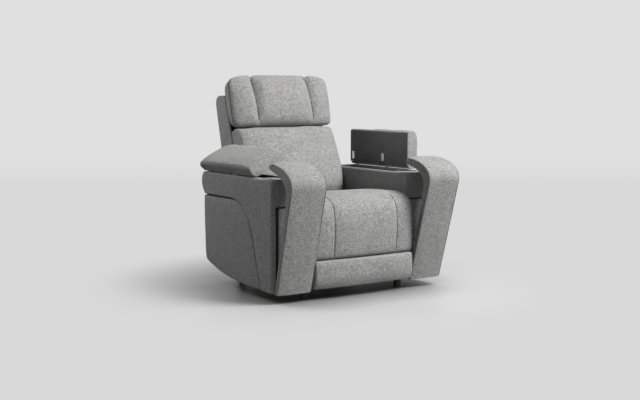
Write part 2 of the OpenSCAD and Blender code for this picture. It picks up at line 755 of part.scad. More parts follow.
// Footrest hinge under the nose of the seat
hinge_half = 150;
knuckles = 5;
knuckle_len = 2 * hinge_half / knuckles;
leaf_back = knuckle_r + over;
module knuckle_row(first) {
    for (i = [first:2:knuckles - 1]) {
        x = -hinge_half + i * knuckle_len;
        rod_x(x + hinge_gap / 2, rest_y, rest_z, knuckle_r, knuckle_len - hinge_gap);
    }
}
module leaf_tabs(first, low_z) {
    for (i = [first:2:knuckles - 1]) {
        x = -hinge_half + i * knuckle_len;
        block([x + hinge_gap / 2, rest_y, low_z],
            [x + knuckle_len - hinge_gap / 2, rest_y + leaf_back, low_z + leaf_t]);
    }
}
module footrest_hinge() {
    color("silver") difference() {
        union() {
            knuckle_row(0);
            leaf_tabs(0, rest_z + over);
            block([-hinge_half, rest_y + leaf_back, rest_z + over],
                [hinge_half, rail_front + rail_w, rest_z + over + leaf_t]);
        }
        rod_x(-hinge_half - over, rest_y, rest_z, rest_pin_r + run_gap, 2 * hinge_half + 2 * over);
    }
}
module footrest_hinge_leaf() {
    color("silver") {
        knuckle_row(1);
        leaf_tabs(1, rest_z - over - leaf_t);
        block([-hinge_half, rest_y + leaf_back, rest_z - over - leaf_t],
            [hinge_half, board_back, rest_z - over]);
        rod_x(-hinge_half, rest_y, rest_z, rest_pin_r, 2 * hinge_half);
    }
}
board_top = rest_z - over - leaf_t;
board_side = 20;
board_half = seat_w / 2 - board_side;
module footrest_board() {
    color("burlywood") block([-board_half, board_front, band_low_z + board_inset],
        [board_half, board_back, board_top]);
}
bracket_y = rest_y + crank_y;
bracket_z = rest_z + crank_z;
bracket_low = 55;
module footrest_brackets() {
    color("dimgray") both_sides() {
        plate_x(link_x - link_t / 2, link_t) {
            polygon([[board_back, bracket_z - bracket_low], [bracket_y, bracket_z - eye_r],
                [bracket_y, bracket_z + eye_r], [board_back, bracket_z + 2 * eye_r - edge_t]]);
            disc_2d(bracket_y, bracket_z, eye_r);
        }
        rod_x(link_x, bracket_y, bracket_z, link_pin_r, link_t * 2);
    }
}
// Chaise pad and front band, crowned across and rounded along their edges
pad_half = seat_w / 2 - edge_t;
chaise_top = rest_z - knuckle_r - over / 2;
function front_crown(u) = seat_crown * pow(abs(u), 3);
chaise_u_shares = [-1, -0.985, -0.95, -0.88, -0.74, -0.67, -0.64, -0.61, -0.5, -0.25, 0,
    0.25, 0.5, 0.61, 0.64, 0.67, 0.74, 0.88, 0.95, 0.985, 1];
seam_x = 190;
seam_dip = 3;
seam_w = 7;
// Depth of the two sewn seams that run down the front
function seam_at(u) = seam_dip * exp(-pow((abs(u) * pad_half - seam_x) / seam_w, 2));
// Share of the setback from the front face, from the lower edge to the hinge
chaise_back_shares = [[0, 0.62], [0.03, 0.28], [0.1, 0.1], [0.25, 0], [0.6, 0], [0.78, 0.1],
    [0.9, 0.34], [1, 0.8]];
chaise_t_shares = [0, 0.03, 0.1, 0.25, 0.45, 0.6, 0.78, 0.9, 0.96, 1];
module chaise_pad() {
    color("darkgray") slab(
        function(u, t) [pad_half * u,
            chaise_front + front_crown(u) + seam_at(u) + rest_pin_back * lookup(t, chaise_back_shares)
                + edge_round * (1 - falloff(u, round_power)), lerp(chaise_low_z, chaise_top, t)],
        function(u, t) [pad_half * u, board_front, lerp(chaise_low_z, chaise_top, t)],
        chaise_u_shares, chaise_t_shares
    );
}
band_u_shares = [-1, -0.985, -0.95, -0.88, -0.7, -0.4, 0, 0.4, 0.7, 0.88, 0.95, 0.985, 1];
band_t_shares = [0, 0.05, 0.16, 0.34, 0.5, 0.66, 0.84, 0.95, 1];
band_swell = 5;
band_power = 3;
module front_band() {
    color("darkgray") slab(
        function(u, t) [pad_half * u, chaise_front - band_swell + front_crown(u)
            + edge_round * (1 - falloff(2 * t - 1, band_power)) + edge_round * (1 - falloff(u, round_power)),
            lerp(band_low_z, chaise_low_z - band_gap, t)],
        function(u, t) [pad_half * u, board_front, lerp(band_low_z, chaise_low_z - band_gap, t)],
        band_u_shares, band_t_shares
    );
}

// Linkage and drives
lever_t = 8;
cheek_t = 6;
carriage_base = 10;
track_w = 20;
track_h = 24;
skirt = 3;
slot_half = link_pin_r + open_gap;
rest_lever = 70;
rest_slope_share = 0.93;
back_lever = 90;
back_slope_share = 0.99;
rest_motor_x = -70;
back_motor_x = 70;
rest_pin_y = tube_y + rest_lever * sin(rest_travel / 2);
rest_pin_low = tube_z - rest_lever * cos(rest_travel / 2);
back_pin_y = pivot_y + back_lever * sin(back_travel / 2);
back_pin_low = back_pin_z - back_lever * cos(back_travel / 2);
rest_slot_z = tube_z - rest_lever - link_pin_r - edge_t;
back_slot_z = back_pin_z - back_lever - link_pin_r - edge_t;
rest_rail_z = rest_slot_z - carriage_base - slide_gap - track_h;
back_rail_z = back_slot_z - carriage_base - slide_gap - track_h;
// A flat bar between two points of the y-z plane, with round ends
module bar_2d(a, b, r) {
    along = (b - a) / norm(b - a);
    across = r * [-along[1], along[0]];
    polygon([a + across, b + across, b - across, a - across]);
    disc_2d(a[0], a[1], r);
    disc_2d(b[0], b[1], r);
}
module torque_tube() {
    end_x = rail_x + edge_t;
    color("dimgray") {
        rod_x(-end_x, tube_y, tube_z, tube_r, 2 * end_x);
        both_sides() {
            plate_x(link_x - link_t / 2, link_t)
                bar_2d([tube_y, tube_z], [tube_y + crank_y, tube_z + crank_z], eye_r);
            rod_x(link_x, tube_y + crank_y, tube_z + crank_z, link_pin_r, link_t * 2);
        }
        plate_x(rest_motor_x - lever_t / 2, lever_t)
            bar_2d([tube_y, tube_z], [rest_pin_y, rest_pin_low], link_pin_r + edge_t);
        rod_x(rest_motor_x - track_w / 2 - over, rest_pin_y, rest_pin_low, link_pin_r, track_w + 2 * over);
    }
}
module footrest_links() {
    color("silver") both_sides() difference() {
        plate_x(link_x + link_t / 2 + over, link_t - over)
            bar_2d([bracket_y, bracket_z], [tube_y + crank_y, tube_z + crank_z], eye_r);
        rod_x(link_x, bracket_y, bracket_z, link_pin_r + open_gap, 3 * link_t);
        rod_x(link_x, tube_y + crank_y, tube_z + crank_z, link_pin_r + run_gap, 3 * link_t);
    }
}
motor_r = 22;
motor_len = 105;
gear_w = 50;
gear_h = 52;
// A track along Y, with its gearbox and its motor at one end
module drive(x, from, to, gear_y, low_z, side) {
    color("black") {
        block([x - track_w / 2, from, low_z], [x + track_w / 2, to, low_z + track_h]);
        block([x - gear_w / 2, gear_y, low_z], [x + gear_w / 2, gear_y + rail_w, low_z + gear_h]);
        rod_x(side > 0 ? x : x - motor_len, gear_y + rail_w / 2, low_z + motor_r + edge_t,
            motor_r, motor_len);
    }
}
module footrest_actuator() {
    drive(rest_motor_x, base_front, cross_front + rail_w, cross_front, rest_rail_z, -1);
}
module recline_actuator() {
    drive(back_motor_x, cross_mid, base_rear, cross_mid, back_rail_z, 1);
}
// A carriage on its track: two slotted cheeks take the lever's pin
module carriage(x, y, slot_z, top_z) {
    half_w = track_w / 2 + slide_gap + skirt;
    color("silver") {
        difference() {
            block([x - half_w, y - slot_half - carriage_base, slot_z - carriage_base - carriage_base / 2],
                [x + half_w, y + slot_half + carriage_base, slot_z]);
            block([x - half_w + skirt, y - slot_half - 2 * carriage_base, slot_z - 2 * carriage_base],
                [x + half_w - skirt, y + slot_half + 2 * carriage_base, slot_z - carriage_base]);
        }
        for (side = [-1, 1]) {
            low_x = side > 0 ? x + lever_t / 2 + over : x - lever_t / 2 - over - cheek_t;
            difference() {
                block([low_x, y - slot_half - carriage_base, slot_z],
                    [low_x + cheek_t, y + slot_half + carriage_base, top_z]);
                block([low_x - over, y - slot_half, slot_z],
                    [low_x + cheek_t + over, y + slot_half, top_z + over]);
            }
        }
    }
}
rest_arc = rest_slope_share * rest_travel * PI / 360;
back_arc = back_slope_share * back_travel * PI / 360;
module footrest_carriage() {
    carriage(rest_motor_x, tube_y + rest_lever * rest_arc, rest_slot_z, rest_pin_low + link_pin_r + edge_t);
}
module recline_carriage() {
    carriage(back_motor_x, pivot_y + back_lever * back_arc, back_slot_z, back_pin_low + link_pin_r + edge_t);
}

// Back: x, then across the lean (n, rearwards) and along it (s, upwards) from the pivot
module leaning() {
    translate([0, pivot_y, back_pin_z]) rotate([-back_lean, 0, 0]) children();
}
function lean_point(n, s) = [pivot_y + n * cos(back_lean) + s * sin(back_lean),
    back_pin_z - n * sin(back_lean) + s * cos(back_lean)];
tie_h = 20;
low_tie = 40;
mid_tie = 330;
head_tie_below = 28;
head_tie = head_foot - head_tie_below;
top_tie = 600;
strap_x = link_x;
strap_t = 4;
ear_h = 7;
ear_high = head_pin_s + hinge_gap;
ear_low = ear_high - ear_h;
module back_frame() {
    half_d = upright_d / 2;
    color("dimgray") {
        leaning() {
            difference() {
                both_sides() block([upright_x, -half_d, -half_d - edge_t],
                    [upright_x + upright_w, half_d, upright_len]);
                rod_x(-rail_x, 0, 0, pivot_r + run_gap, 2 * rail_x);
            }
            for (s = [low_tie, head_tie]) block([-upright_x, -half_d, s], [upright_x, half_d, s + tie_h]);
            for (s = [mid_tie, top_tie]) block([-wing_in, -half_d, s], [wing_in, half_d, s + tie_h]);
            both_sides() {
                block([strap_x + strap_t + over, head_pin_n, ear_low],
                    [strap_x + 2 * strap_t + over, -half_d, ear_high]);
                rod_x(strap_x + strap_t + over, head_pin_n, head_pin_s, head_pin_r * 2, strap_t);
                rod_x(strap_x - over, head_pin_n, head_pin_s, head_pin_r, 2 * strap_t + over);
            }
        }
        plate_x(back_motor_x - lever_t / 2, lever_t) bar_2d(lean_point(0, low_tie + tie_h / 2),
            [back_pin_y, back_pin_low], link_pin_r + edge_t);
        rod_x(back_motor_x - track_w / 2 - over, back_pin_y, back_pin_low, link_pin_r, track_w + 2 * over);
    }
}
panel_foot = 60;
back_foot_s = 80;
back_gap = 16;
back_top_s = head_foot - back_gap;
module back_panel() {
    color("burlywood") leaning() block([-upright_x - 2 * rim_t, -upright_d / 2 - panel_t, panel_foot],
        [upright_x + 2 * rim_t, -upright_d / 2, back_top_s]);
}
wing_front = -upright_d / 2 - edge_t;
wing_foot = 30;
shell_lean = 14;
shell_round = 42;
shell_rear = overall_depth / 2;
shell_foot_rise = 7;
shell_foot_z = back_pin_z + shell_foot_rise;
corner = [shell_rear - shell_round, shell_h - shell_round];
function shell_rear_y(z) = corner[0] + shell_round / cos(shell_lean) - (corner[1] - z) * tan(shell_lean);
module shell_outline() {
    foot = lean_point(wing_front, wing_foot);
    polygon(concat(
        [foot, [foot[0] + (shell_h - foot[1]) * tan(back_lean), shell_h]],
        [for (i = [0:6]) corner + shell_round * [sin(15 * i), cos(15 * i)]],
        [corner + shell_round * [cos(shell_lean), -sin(shell_lean)],
            [shell_rear_y(shell_foot_z), shell_foot_z]]
    ));
}
module shell_hollow() {
    wall = shell_wall / cos(shell_lean);
    top = shell_h - shell_wall;
    polygon([
        [pivot_y - back_t, back_pin_z - back_t],
        [shell_rear_y(back_pin_z - back_t) - wall, back_pin_z - back_t],
        [shell_rear_y(top - shell_round) - wall, top - shell_round],
        [shell_rear_y(top) - wall - shell_round, top],
        [pivot_y - back_t, top]
    ]);
}
module back_shell() {
    color("gray") difference() {
        plate_x(-shell_w / 2, shell_w) shell_outline();
        plate_x(-wing_in, 2 * wing_in) shell_hollow();
    }
}
// Cushion of the back: share of its thickness from foot to top
back_thick_shares = [[0, 0.62], [0.02, 0.88], [0.07, 0.98], [0.2, 1], [0.45, 0.97], [0.68, 0.91],
    [0.84, 0.85], [0.94, 0.76], [0.985, 0.62], [1, 0.42]];
back_t_shares = [0, 0.02, 0.07, 0.2, 0.35, 0.5, 0.68, 0.84, 0.94, 0.985, 1];
back_u_shares = [-1, -0.985, -0.95, -0.88, -0.7, -0.4, 0, 0.4, 0.7, 0.88, 0.95, 0.985, 1];
back_rear_n = -upright_d / 2 - panel_t;
back_crown = 8;
back_power = 7;
back_side_share = 0.66;
module back_cushion() {
    color("darkgray") leaning() slab(
        function(u, t) [back_w / 2 * u, back_rear_n - back_t * lookup(t, back_thick_shares)
            * lerp(back_side_share, 1, falloff(u, back_power)) + back_crown * pow(abs(u), 3),
            lerp(back_foot_s, back_top_s, t)],
        function(u, t) [back_w / 2 * u, back_rear_n, lerp(back_foot_s, back_top_s, t)],
        back_u_shares, back_t_shares
    );
}

// Headrest
head_rear_fore = 34;
head_rear_n = -head_rear_fore;
head_board_t = 10;
head_board_inset = 10;
head_board_half = upright_x - head_board_inset;
head_board_below = 28;
head_n = head_rear_n - head_t / 2;
module headrest_frame() {
    color("dimgray") leaning() {
        block([-head_board_half, head_rear_n, ear_high + over],
            [head_board_half, head_rear_n + head_board_t, head_foot + head_len - head_board_below]);
        both_sides() difference() {
            union() {
                block([strap_x, head_pin_n, head_pin_s], [strap_x + strap_t, head_rear_n, head_foot - over]);
                rod_x(strap_x, head_pin_n, head_pin_s, head_pin_r * 2 + over, strap_t);
            }
            rod_x(strap_x - over, head_pin_n, head_pin_s, head_pin_r + run_gap, strap_t + 2 * over);
        }
    }
}
head_u_shares = [-1, -0.985, -0.94, -0.86, -0.74, -0.66, -0.62, -0.586, -0.55, -0.5, -0.35, -0.15,
    0.15, 0.35, 0.5, 0.55, 0.586, 0.62, 0.66, 0.74, 0.86, 0.94, 0.985, 1];
head_v_shares = [-1, -0.975, -0.9, -0.75, -0.5, -0.15, 0.2, 0.55, 0.8, 0.93, 0.985, 1];
channel_w = 9;
corner_share = 0.05;
corner_power = 8;
channel_foot_share = 0.3;
head_edge_share = 0.12;
head_side_power = 12;
head_cheek_power = 3.2;
head_top_power = 2.3;
head_foot_power = 6;
function channel_dip(u, v) = channel_d * exp(-pow((abs(u) * head_w / 2 - channel_x) / channel_w, 2))
    * lerp(channel_foot_share, 1, (v + 1) / 2);
function head_x(u, v) = head_w / 2 * u * (1 - corner_share * pow(abs(v), corner_power));
function head_s(u, v) = head_foot + head_len * (1 + v * (1 - corner_share * pow(abs(u), corner_power))) / 2;
function head_half(u, v, side_power, power) =
    head_t / 2 * lerp(head_edge_share, 1, falloff(u, side_power) * falloff(v, power));
// The face is full at its foot and rounds off towards the top
function head_front(u, v) = head_half(u, v, head_cheek_power, v > 0 ? head_top_power : head_foot_power);
module headrest_cushion() {
    color("darkgray") leaning() slab(
        function(u, v) [head_x(u, v), head_n - head_front(u, v) + channel_dip(u, v), head_s(u, v)],
        function(u, v) [head_x(u, v), head_n + head_half(u, v, head_side_power, head_top_power), head_s(u, v)],
        head_u_shares, head_v_shares
    );
}

// Controls on the inner face of the sitter's right arm
bezel_t = 4;
button_len = 5.4;
button_pitch = 18;
panel_y = front_y + cup_y;
panel_below = 70;
panel_z = arm_h - panel_below;
module control_panel() {
    color("black") on_side(-1) difference() {
        block([in_face - bezel_t, panel_y, panel_z], [in_face, panel_y + panel_len, panel_z + panel_h]);
        for (i = [0:3]) rod_x(in_face - bezel_t - over, button_y(i), panel_z + panel_h / 2,
            button_r + soft_gap, bezel_t + 2 * over);
    }
}
function button_y(i) = panel_y + panel_len / 2 + (i - 1.5) * button_pitch;
module button(i) {
    color("silver") on_side(-1) rod_x(in_face - soft_gap - button_travel - button_len, button_y(i),
        panel_z + panel_h / 2, button_r, button_len);
}

base_frame();
feet();
rear_panel();
power_inlet();
power_supply();
seat_frame();
seat_springs();
seat_cushion();
arm_frame(-1);  // arm_frame_right
arm_frame(1);  // arm_frame_left
arm_outer_panel(-1);  // arm_outer_panel_right
arm_outer_panel(1);  // arm_outer_panel_left
arm_side_pad(-1);  // arm_side_pad_right
arm_side_pad(1);  // arm_side_pad_left
arm_inner_panel(-1);  // arm_inner_panel_right
arm_inner_panel(1);  // arm_inner_panel_left
arm_front_pad(-1);  // arm_front_pad_right
arm_front_pad(1);  // arm_front_pad_left
arm_front_panel(-1);  // arm_front_panel_right
arm_front_panel(1);  // arm_front_panel_left
arm_rear_panel(-1);  // arm_rear_panel_right
arm_rear_panel(1);  // arm_rear_panel_left
arm_scroll(-1);  // arm_scroll_right
arm_scroll(1);  // arm_scroll_left
arm_top_deck(-1);  // arm_top_deck_right
arm_top_deck(1);  // arm_top_deck_left
cup_holder(-1);  // cup_holder_right
cup_holder(1);  // cup_holder_left
storage_tub(-1);  // storage_tub_right
storage_tub(1);  // storage_tub_left
lid_brackets();
lid_hinges(-1);  // lid_hinges_right
lid_hinges(1);  // lid_hinges_left
lid_board(-1);  // lid_board_right
lid_board(1);  // lid_board_left
lid_pad(-1);  // lid_pad_right
lid_pad(1);  // lid_pad_left
footrest_hinge();
footrest_hinge_leaf();
footrest_board();
footrest_brackets();
chaise_pad();
front_band();
torque_tube();
footrest_links();
footrest_actuator();
footrest_carriage();
recline_actuator();
recline_carriage();
back_frame();
back_panel();
back_shell();
back_cushion();
headrest_frame();
headrest_cushion();
control_panel();
button(0);  // button_footrest_up
button(1);  // button_footrest_down
button(2);  // button_head_forward
button(3);  // button_head_back
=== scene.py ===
"""Cinema recliner seat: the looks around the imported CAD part. Lengths in the tables are millimetres."""
import json
import math

import bmesh
import bpy
import numpy as np
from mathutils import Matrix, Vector, noise


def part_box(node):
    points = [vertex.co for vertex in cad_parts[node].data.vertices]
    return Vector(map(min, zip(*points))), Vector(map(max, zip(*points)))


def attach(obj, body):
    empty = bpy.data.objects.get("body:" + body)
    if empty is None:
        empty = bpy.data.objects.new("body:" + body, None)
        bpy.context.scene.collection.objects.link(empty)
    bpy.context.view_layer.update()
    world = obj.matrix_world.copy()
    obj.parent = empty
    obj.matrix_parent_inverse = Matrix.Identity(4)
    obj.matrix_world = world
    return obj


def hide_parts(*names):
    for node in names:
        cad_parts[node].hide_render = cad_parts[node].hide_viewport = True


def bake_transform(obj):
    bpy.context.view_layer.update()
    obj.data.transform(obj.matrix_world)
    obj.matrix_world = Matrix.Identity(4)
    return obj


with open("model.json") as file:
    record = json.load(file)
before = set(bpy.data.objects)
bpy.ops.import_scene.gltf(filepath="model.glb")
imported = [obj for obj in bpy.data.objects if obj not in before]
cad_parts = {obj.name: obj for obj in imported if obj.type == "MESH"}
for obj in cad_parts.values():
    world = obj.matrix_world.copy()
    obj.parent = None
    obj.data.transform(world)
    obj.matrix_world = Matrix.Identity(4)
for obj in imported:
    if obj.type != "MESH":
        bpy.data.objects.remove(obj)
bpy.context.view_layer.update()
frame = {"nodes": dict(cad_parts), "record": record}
NODES = frame["nodes"]
BODY_OF = {n: b for b, ns in frame["record"]["behaviour"]["bodies"].items() for n in ns}
SLOT_OF = {s["node"]: s["material_slot"] for s in frame["record"]["subparts"]}

SIDES = ((-1, "right"), (1, "left"))


def linked(name, data):
    """A new object in the scene."""
    o = bpy.data.objects.new(name, data)
    bpy.context.collection.objects.link(o)
    return o


# Camera fitted to the photograph
CAMERA_TURN = math.radians(-33.51)
cam_data = bpy.data.cameras.new("camera")
cam_data.lens = 59.12
cam_data.sensor_width = 36.0
cam_data.sensor_fit = "HORIZONTAL"
camera = linked("camera", cam_data)
camera.location = (-3.04708, -4.63018, 1.01539)
camera.rotation_euler = (math.radians(84.09), 0, CAMERA_TURN)
bpy.context.scene.camera = camera
bpy.context.scene.view_settings.view_transform = "Standard"


# Materials
def node(nt, kind, inputs=None, **settings):
    """A shader node, each input linked to a socket or set to a value."""
    n = nt.nodes.new("ShaderNode" + kind)
    for k, v in settings.items():
        setattr(n, k, v)
    for k, v in (inputs or {}).items():
        if isinstance(v, bpy.types.NodeSocket):
            nt.links.new(v, n.inputs[k])
        else:
            n.inputs[k].default_value = v
    return n


def material(name, **values):
    """A new material, its node tree and its shader with the values set."""
    m = bpy.data.materials.new(name)
    m.use_nodes = True
    nt = m.node_tree
    b = nt.nodes["Principled BSDF"]
    for k, v in values.items():
        b.inputs[k.replace("_", " ")].default_value = v
    return m, nt, b


def coords(nt, shift=(0, 0, 0)):
    """Places on the object, shifted so that cloths don't repeat each other."""
    tc = node(nt, "TexCoord").outputs["Object"]
    return node(nt, "VectorMath", {0: tc, 1: shift}, operation="ADD").outputs[0]


def grain(nt, where, scale, low, high, detail=2.0, rough=0.5, at=(0.3, 0.7)):
    """Noise from low to high, the part of it between the values at stretched over that range."""
    n = node(nt, "TexNoise", {"Vector": where, "Scale": scale, "Detail": detail, "Roughness": rough})
    return node(nt, "MapRange", {"Value": n.outputs["Fac"], "From Min": at[0], "From Max": at[1],
                                 "To Min": low, "To Max": high}).outputs["Result"]


def times(nt, a, b, operation="MULTIPLY"):
    """Two values multiplied, or joined by another operation."""
    return node(nt, "Math", {0: a, 1: b}, operation=operation).outputs[0]


def tinted(nt, colour, value):
    return node(nt, "VectorMath", {0: colour, "Scale": value}, operation="SCALE").outputs["Vector"]


def weave(nt, where, pitch):
    """Height of a cloth of crossing yarns, alike on every side of a piece."""
    k = 2 * math.pi / pitch
    wob = node(nt, "TexNoise", {"Vector": where, "Scale": 60.0, "Detail": 1.0})
    moved = node(nt, "VectorMath", {0: where, 1: tinted(nt, wob.outputs["Color"], 0.0016)},
                 operation="ADD")
    scaled = node(nt, "VectorMath", {0: moved.outputs[0], "Scale": k}, operation="SCALE").outputs["Vector"]
    xyz = node(nt, "SeparateXYZ", {0: scaled}).outputs
    waves = [node(nt, "Math", {0: s}, operation="SINE").outputs[0] for s in xyz]
    return times(nt, times(nt, waves[0], waves[1], "ADD"), waves[2], "ADD")


def fabric(name, colour, contrast=1.0, flecks=0.45, seed=0.0):
    """Coarse cloth: mottled yarns at three scales, faint patches, dark flecks and a raised weave."""
    m, nt, b = material(name, Roughness=0.93, Sheen_Weight=0.22, Sheen_Roughness=0.45,
                        Specular_IOR_Level=0.18)
    p = coords(nt, (seed, seed * 0.7, -seed))
    c = contrast
    v = grain(nt, p, 130.0, 1 - 0.30 * c, 1 + 0.26 * c, 3.0, 0.6, (0.33, 0.67))
    v = times(nt, v, grain(nt, p, 400.0, 1 - 0.18 * c, 1 + 0.18 * c, 1.0))
    v = times(nt, v, grain(nt, p, 55.0, 1 - 0.10 * c, 1 + 0.10 * c, 2.0))
    v = times(nt, v, grain(nt, p, 14.0, 0.95, 1.05, 2.0))
    fleck_at = coords(nt, (3.1 + seed, 1.7, 0.4))
    v = times(nt, v, grain(nt, fleck_at, 230.0, 1.0, 1 - flecks, 1.0, 0.5, (0.60, 0.70)))
    nt.links.new(tinted(nt, colour, v), b.inputs["Base Color"])
    h = times(nt, weave(nt, p, 0.0024), grain(nt, p, 300.0, -1.6, 1.6, 3.0, 0.6, (0.2, 0.8)), "ADD")
    bump = node(nt, "Bump", {"Height": h, "Strength": 0.55, "Distance": 0.0005})
    nt.links.new(bump.outputs["Normal"], b.inputs["Normal"])
    return m


def hard(name, colour, rough, scale, spread, metallic=0.0, bump=0.0):
    """Metal, plastic or paint: slightly uneven in colour and gloss."""
    m, nt, b = material(name, Metallic=metallic)
    p = node(nt, "TexCoord").outputs["Object"]
    nt.links.new(tinted(nt, colour, grain(nt, p, scale, 1 - spread, 1 + spread, 3.0)), b.inputs["Base Color"])
    nt.links.new(grain(nt, p, scale * 2.3, rough[0], rough[1], 2.0), b.inputs["Roughness"])
    if bump:
        n = node(nt, "TexNoise", {"Vector": p, "Scale": 900.0, "Detail": 2.0})
        bm = node(nt, "Bump", {"Height": n.outputs["Fac"], "Strength": 0.4, "Distance": bump})
        nt.links.new(bm.outputs["Normal"], b.inputs["Normal"])
    return m


def birch(name):
    """Pale plywood with its plies in bands."""
    m, nt, b = material(name, Roughness=0.6, Specular_IOR_Level=0.3)
    p = coords(nt)
    flat = node(nt, "VectorMath", {0: p, 1: (1.0, 1.0, 7.0)}, operation="MULTIPLY").outputs[0]
    w = node(nt, "TexWave", {"Vector": flat, "Scale": 9.0, "Distortion": 5.0, "Detail": 2.0,
                             "Detail Scale": 1.5}, wave_type="BANDS", bands_direction="Z")
    v = node(nt, "MapRange", {"Value": w.outputs["Fac"], "To Min": 0.8, "To Max": 1.1}).outputs["Result"]
    v = times(nt, v, grain(nt, p, 260.0, 0.92, 1.08))
    nt.links.new(tinted(nt, (0.55, 0.38, 0.21), v), b.inputs["Base Color"])
    return m


M = {
    # The cloth in two tones of one colour: the lighter on faces turned to the key light, the darker on faces
    # turned away from it. This is painted light and shade by facing.
    "fabric_front": fabric("fabric_front", (0.400, 0.396, 0.394)),
    "fabric_side": fabric("fabric_side", (0.337, 0.334, 0.333), 1.0, 0.4, 0.9),
    # Near black, put in seams, channels, grooves and gaps: painted crease shade.
    "fabric_seam": fabric("fabric_seam", (0.040, 0.039, 0.039), 0.6, 0.1, 1.4),
    "fabric_welt": fabric("fabric_welt", (0.26, 0.257, 0.256), 0.7, 0.2, 2.1),
    # A still darker tone of the cloth: painted shade on the inner faces of the arms and scrolls and on the
    # inner strip of the deck.
    "fabric_painted_shade": fabric("fabric_painted_shade", (0.200, 0.198, 0.197), 1.0, 0.4, 0.9),
    "fabric_dark": fabric("fabric_dark", (0.150, 0.151, 0.153), 0.9, 0.2, 0.5),
    "frame_steel": hard("frame_steel", (0.03, 0.03, 0.032), (0.42, 0.6), 120.0, 0.15, bump=0.0002),
    "spring_steel": hard("spring_steel", (0.42, 0.42, 0.43), (0.28, 0.42), 60.0, 0.12, 1.0),
    "hinge_steel": hard("hinge_steel", (0.72, 0.72, 0.73), (0.34, 0.48), 80.0, 0.10, 1.0),
    "bright_metal": hard("bright_metal", (0.80, 0.80, 0.81), (0.13, 0.22), 40.0, 0.03, 1.0),
    "plywood": birch("plywood"),
    "black_plastic": hard("black_plastic", (0.02, 0.02, 0.022), (0.42, 0.55), 150.0, 0.10, bump=0.00025),
    "glide_plastic": hard("glide_plastic", (0.03, 0.03, 0.03), (0.5, 0.62), 150.0, 0.10, bump=0.0003),
}
for n, o in NODES.items():
    for s in o.material_slots:
        s.material = M[SLOT_OF[n]]


# Mesh helpers
def from_millimetres(name, verts, faces):
    """A new object from points in millimetres."""
    me = bpy.data.meshes.new(name)
    me.from_pydata([[c * 0.001 for c in v] for v in verts], [], faces)
    return linked(name, me)


def make(name, verts, faces, mat, body, soft=None, nodes=(), sharp=50.0, slot=None):
    """A piece from points in millimetres. Its closed shell is turned outwards and shaded by angle."""
    o = from_millimetres(name, verts, faces)
    tidy(o, sharp)
    o.data.materials.append(M[mat])
    if body:
        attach(o, body)
    if nodes:
        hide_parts(*nodes)
    slot or (SLOT_OF[nodes[0]] if nodes else "fabric_front")
    return o


def second_cloth(o, mat, chosen):
    """Gives the chosen faces another cloth."""
    o.data.materials.append(M[mat])
    for f in o.data.polygons:
        if chosen(f):
            f.material_index = len(o.data.materials) - 1


def tidy(o, sharp=50.0, weld=1e-6):
    """Welds doubles, turns the faces outwards and shades the edges up to an angle smooth."""
    bm = bmesh.new()
    bm.from_mesh(o.data)
    bmesh.ops.remove_doubles(bm, verts=bm.verts, dist=weld)
    bmesh.ops.recalc_face_normals(bm, faces=bm.faces)
    for f in bm.faces:
        f.smooth = True
    for e in bm.edges:
        e.smooth = not (len(e.link_faces) == 2 and e.calc_face_angle(0) > math.radians(sharp))
    bm.to_mesh(o.data)
    bm.free()


def applied(o):
    """Writes the result of the modifiers to the mesh."""
    dg = bpy.context.evaluated_depsgraph_get()
    dg.update()
    me = bpy.data.meshes.new_from_object(o.evaluated_get(dg))
    o.modifiers.clear()
    old = o.data
    o.data = me
    bpy.data.meshes.remove(old)


def bevel(o, width, segments=3, angle=35.0, sharp=40.0):
    """Rounds the edges over an angle."""
    mod = o.modifiers.new("bevel", "BEVEL")
    mod.width = width * 0.001
    mod.segments = segments
    mod.limit_method = "ANGLE"
    mod.angle_limit = math.radians(angle)
    mod.harden_normals = False
    applied(o)
    tidy(o, sharp)


def copied(n, name):
    """A new object with the form of a CAD node."""
    me = NODES[n].data.copy()
    me.transform(NODES[n].matrix_world)
    return linked(name, me)


def whole_faces(bm, weld):
    """Welds doubles and joins the triangles of each flat face."""
    bmesh.ops.remove_doubles(bm, verts=bm.verts, dist=weld)
    bmesh.ops.dissolve_limit(bm, angle_limit=math.radians(1.0), verts=bm.verts, edges=bm.edges)


def panel(n, mat, width, segments=3, angle=35.0):
    """An upholstered board: the CAD form with its edges rolled over."""
    o = copied(n, n + "_cover")
    bm = bmesh.new()
    bm.from_mesh(o.data)
    whole_faces(bm, 1e-5)
    bm.to_mesh(o.data)
    bm.free()
    o.data.materials.clear()
    o.data.materials.append(M[mat])
    bevel(o, width, segments, angle)
    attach(o, BODY_OF[n])
    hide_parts(n)


def displace(o, f):
    """Moves each point along its normal by f(point in mm), in mm."""
    me = o.data
    normals = [v.normal.copy() for v in me.vertices]
    for v, n in zip(me.vertices, normals):
        v.co += n * (f(v.co * 1000) * 0.001)
    me.update()


def swell(amp, size, seed):
    """Soft unevenness: noise of a height and a size, as a function of the point."""
    return lambda p: amp * noise.noise(Vector((p.x + seed, p.y - seed, p.z + 2 * seed)) / size)


def lerp(a, b, t):
    return a + (b - a) * t


def falloff(u, power):
    """1 at the middle and 0 at -1 and 1, the flatter between them the higher the power."""
    return max(0.0, 1 - abs(u) ** power) ** (1 / power)


def look(table, t):
    """A table's value at t."""
    return float(np.interp(t, [a for a, _ in table], [b for _, b in table]))


def smooth_table(table):
    """The table's curve with its corners rounded."""
    xs = np.linspace(table[0][0], table[-1][0], 161)
    ys = np.interp(xs, [a for a, _ in table], [b for _, b in table])
    for _ in range(2):
        ys[1:-1] = (ys[:-2] + 2 * ys[1:-1] + ys[2:]) / 4
    return list(zip(xs, ys))


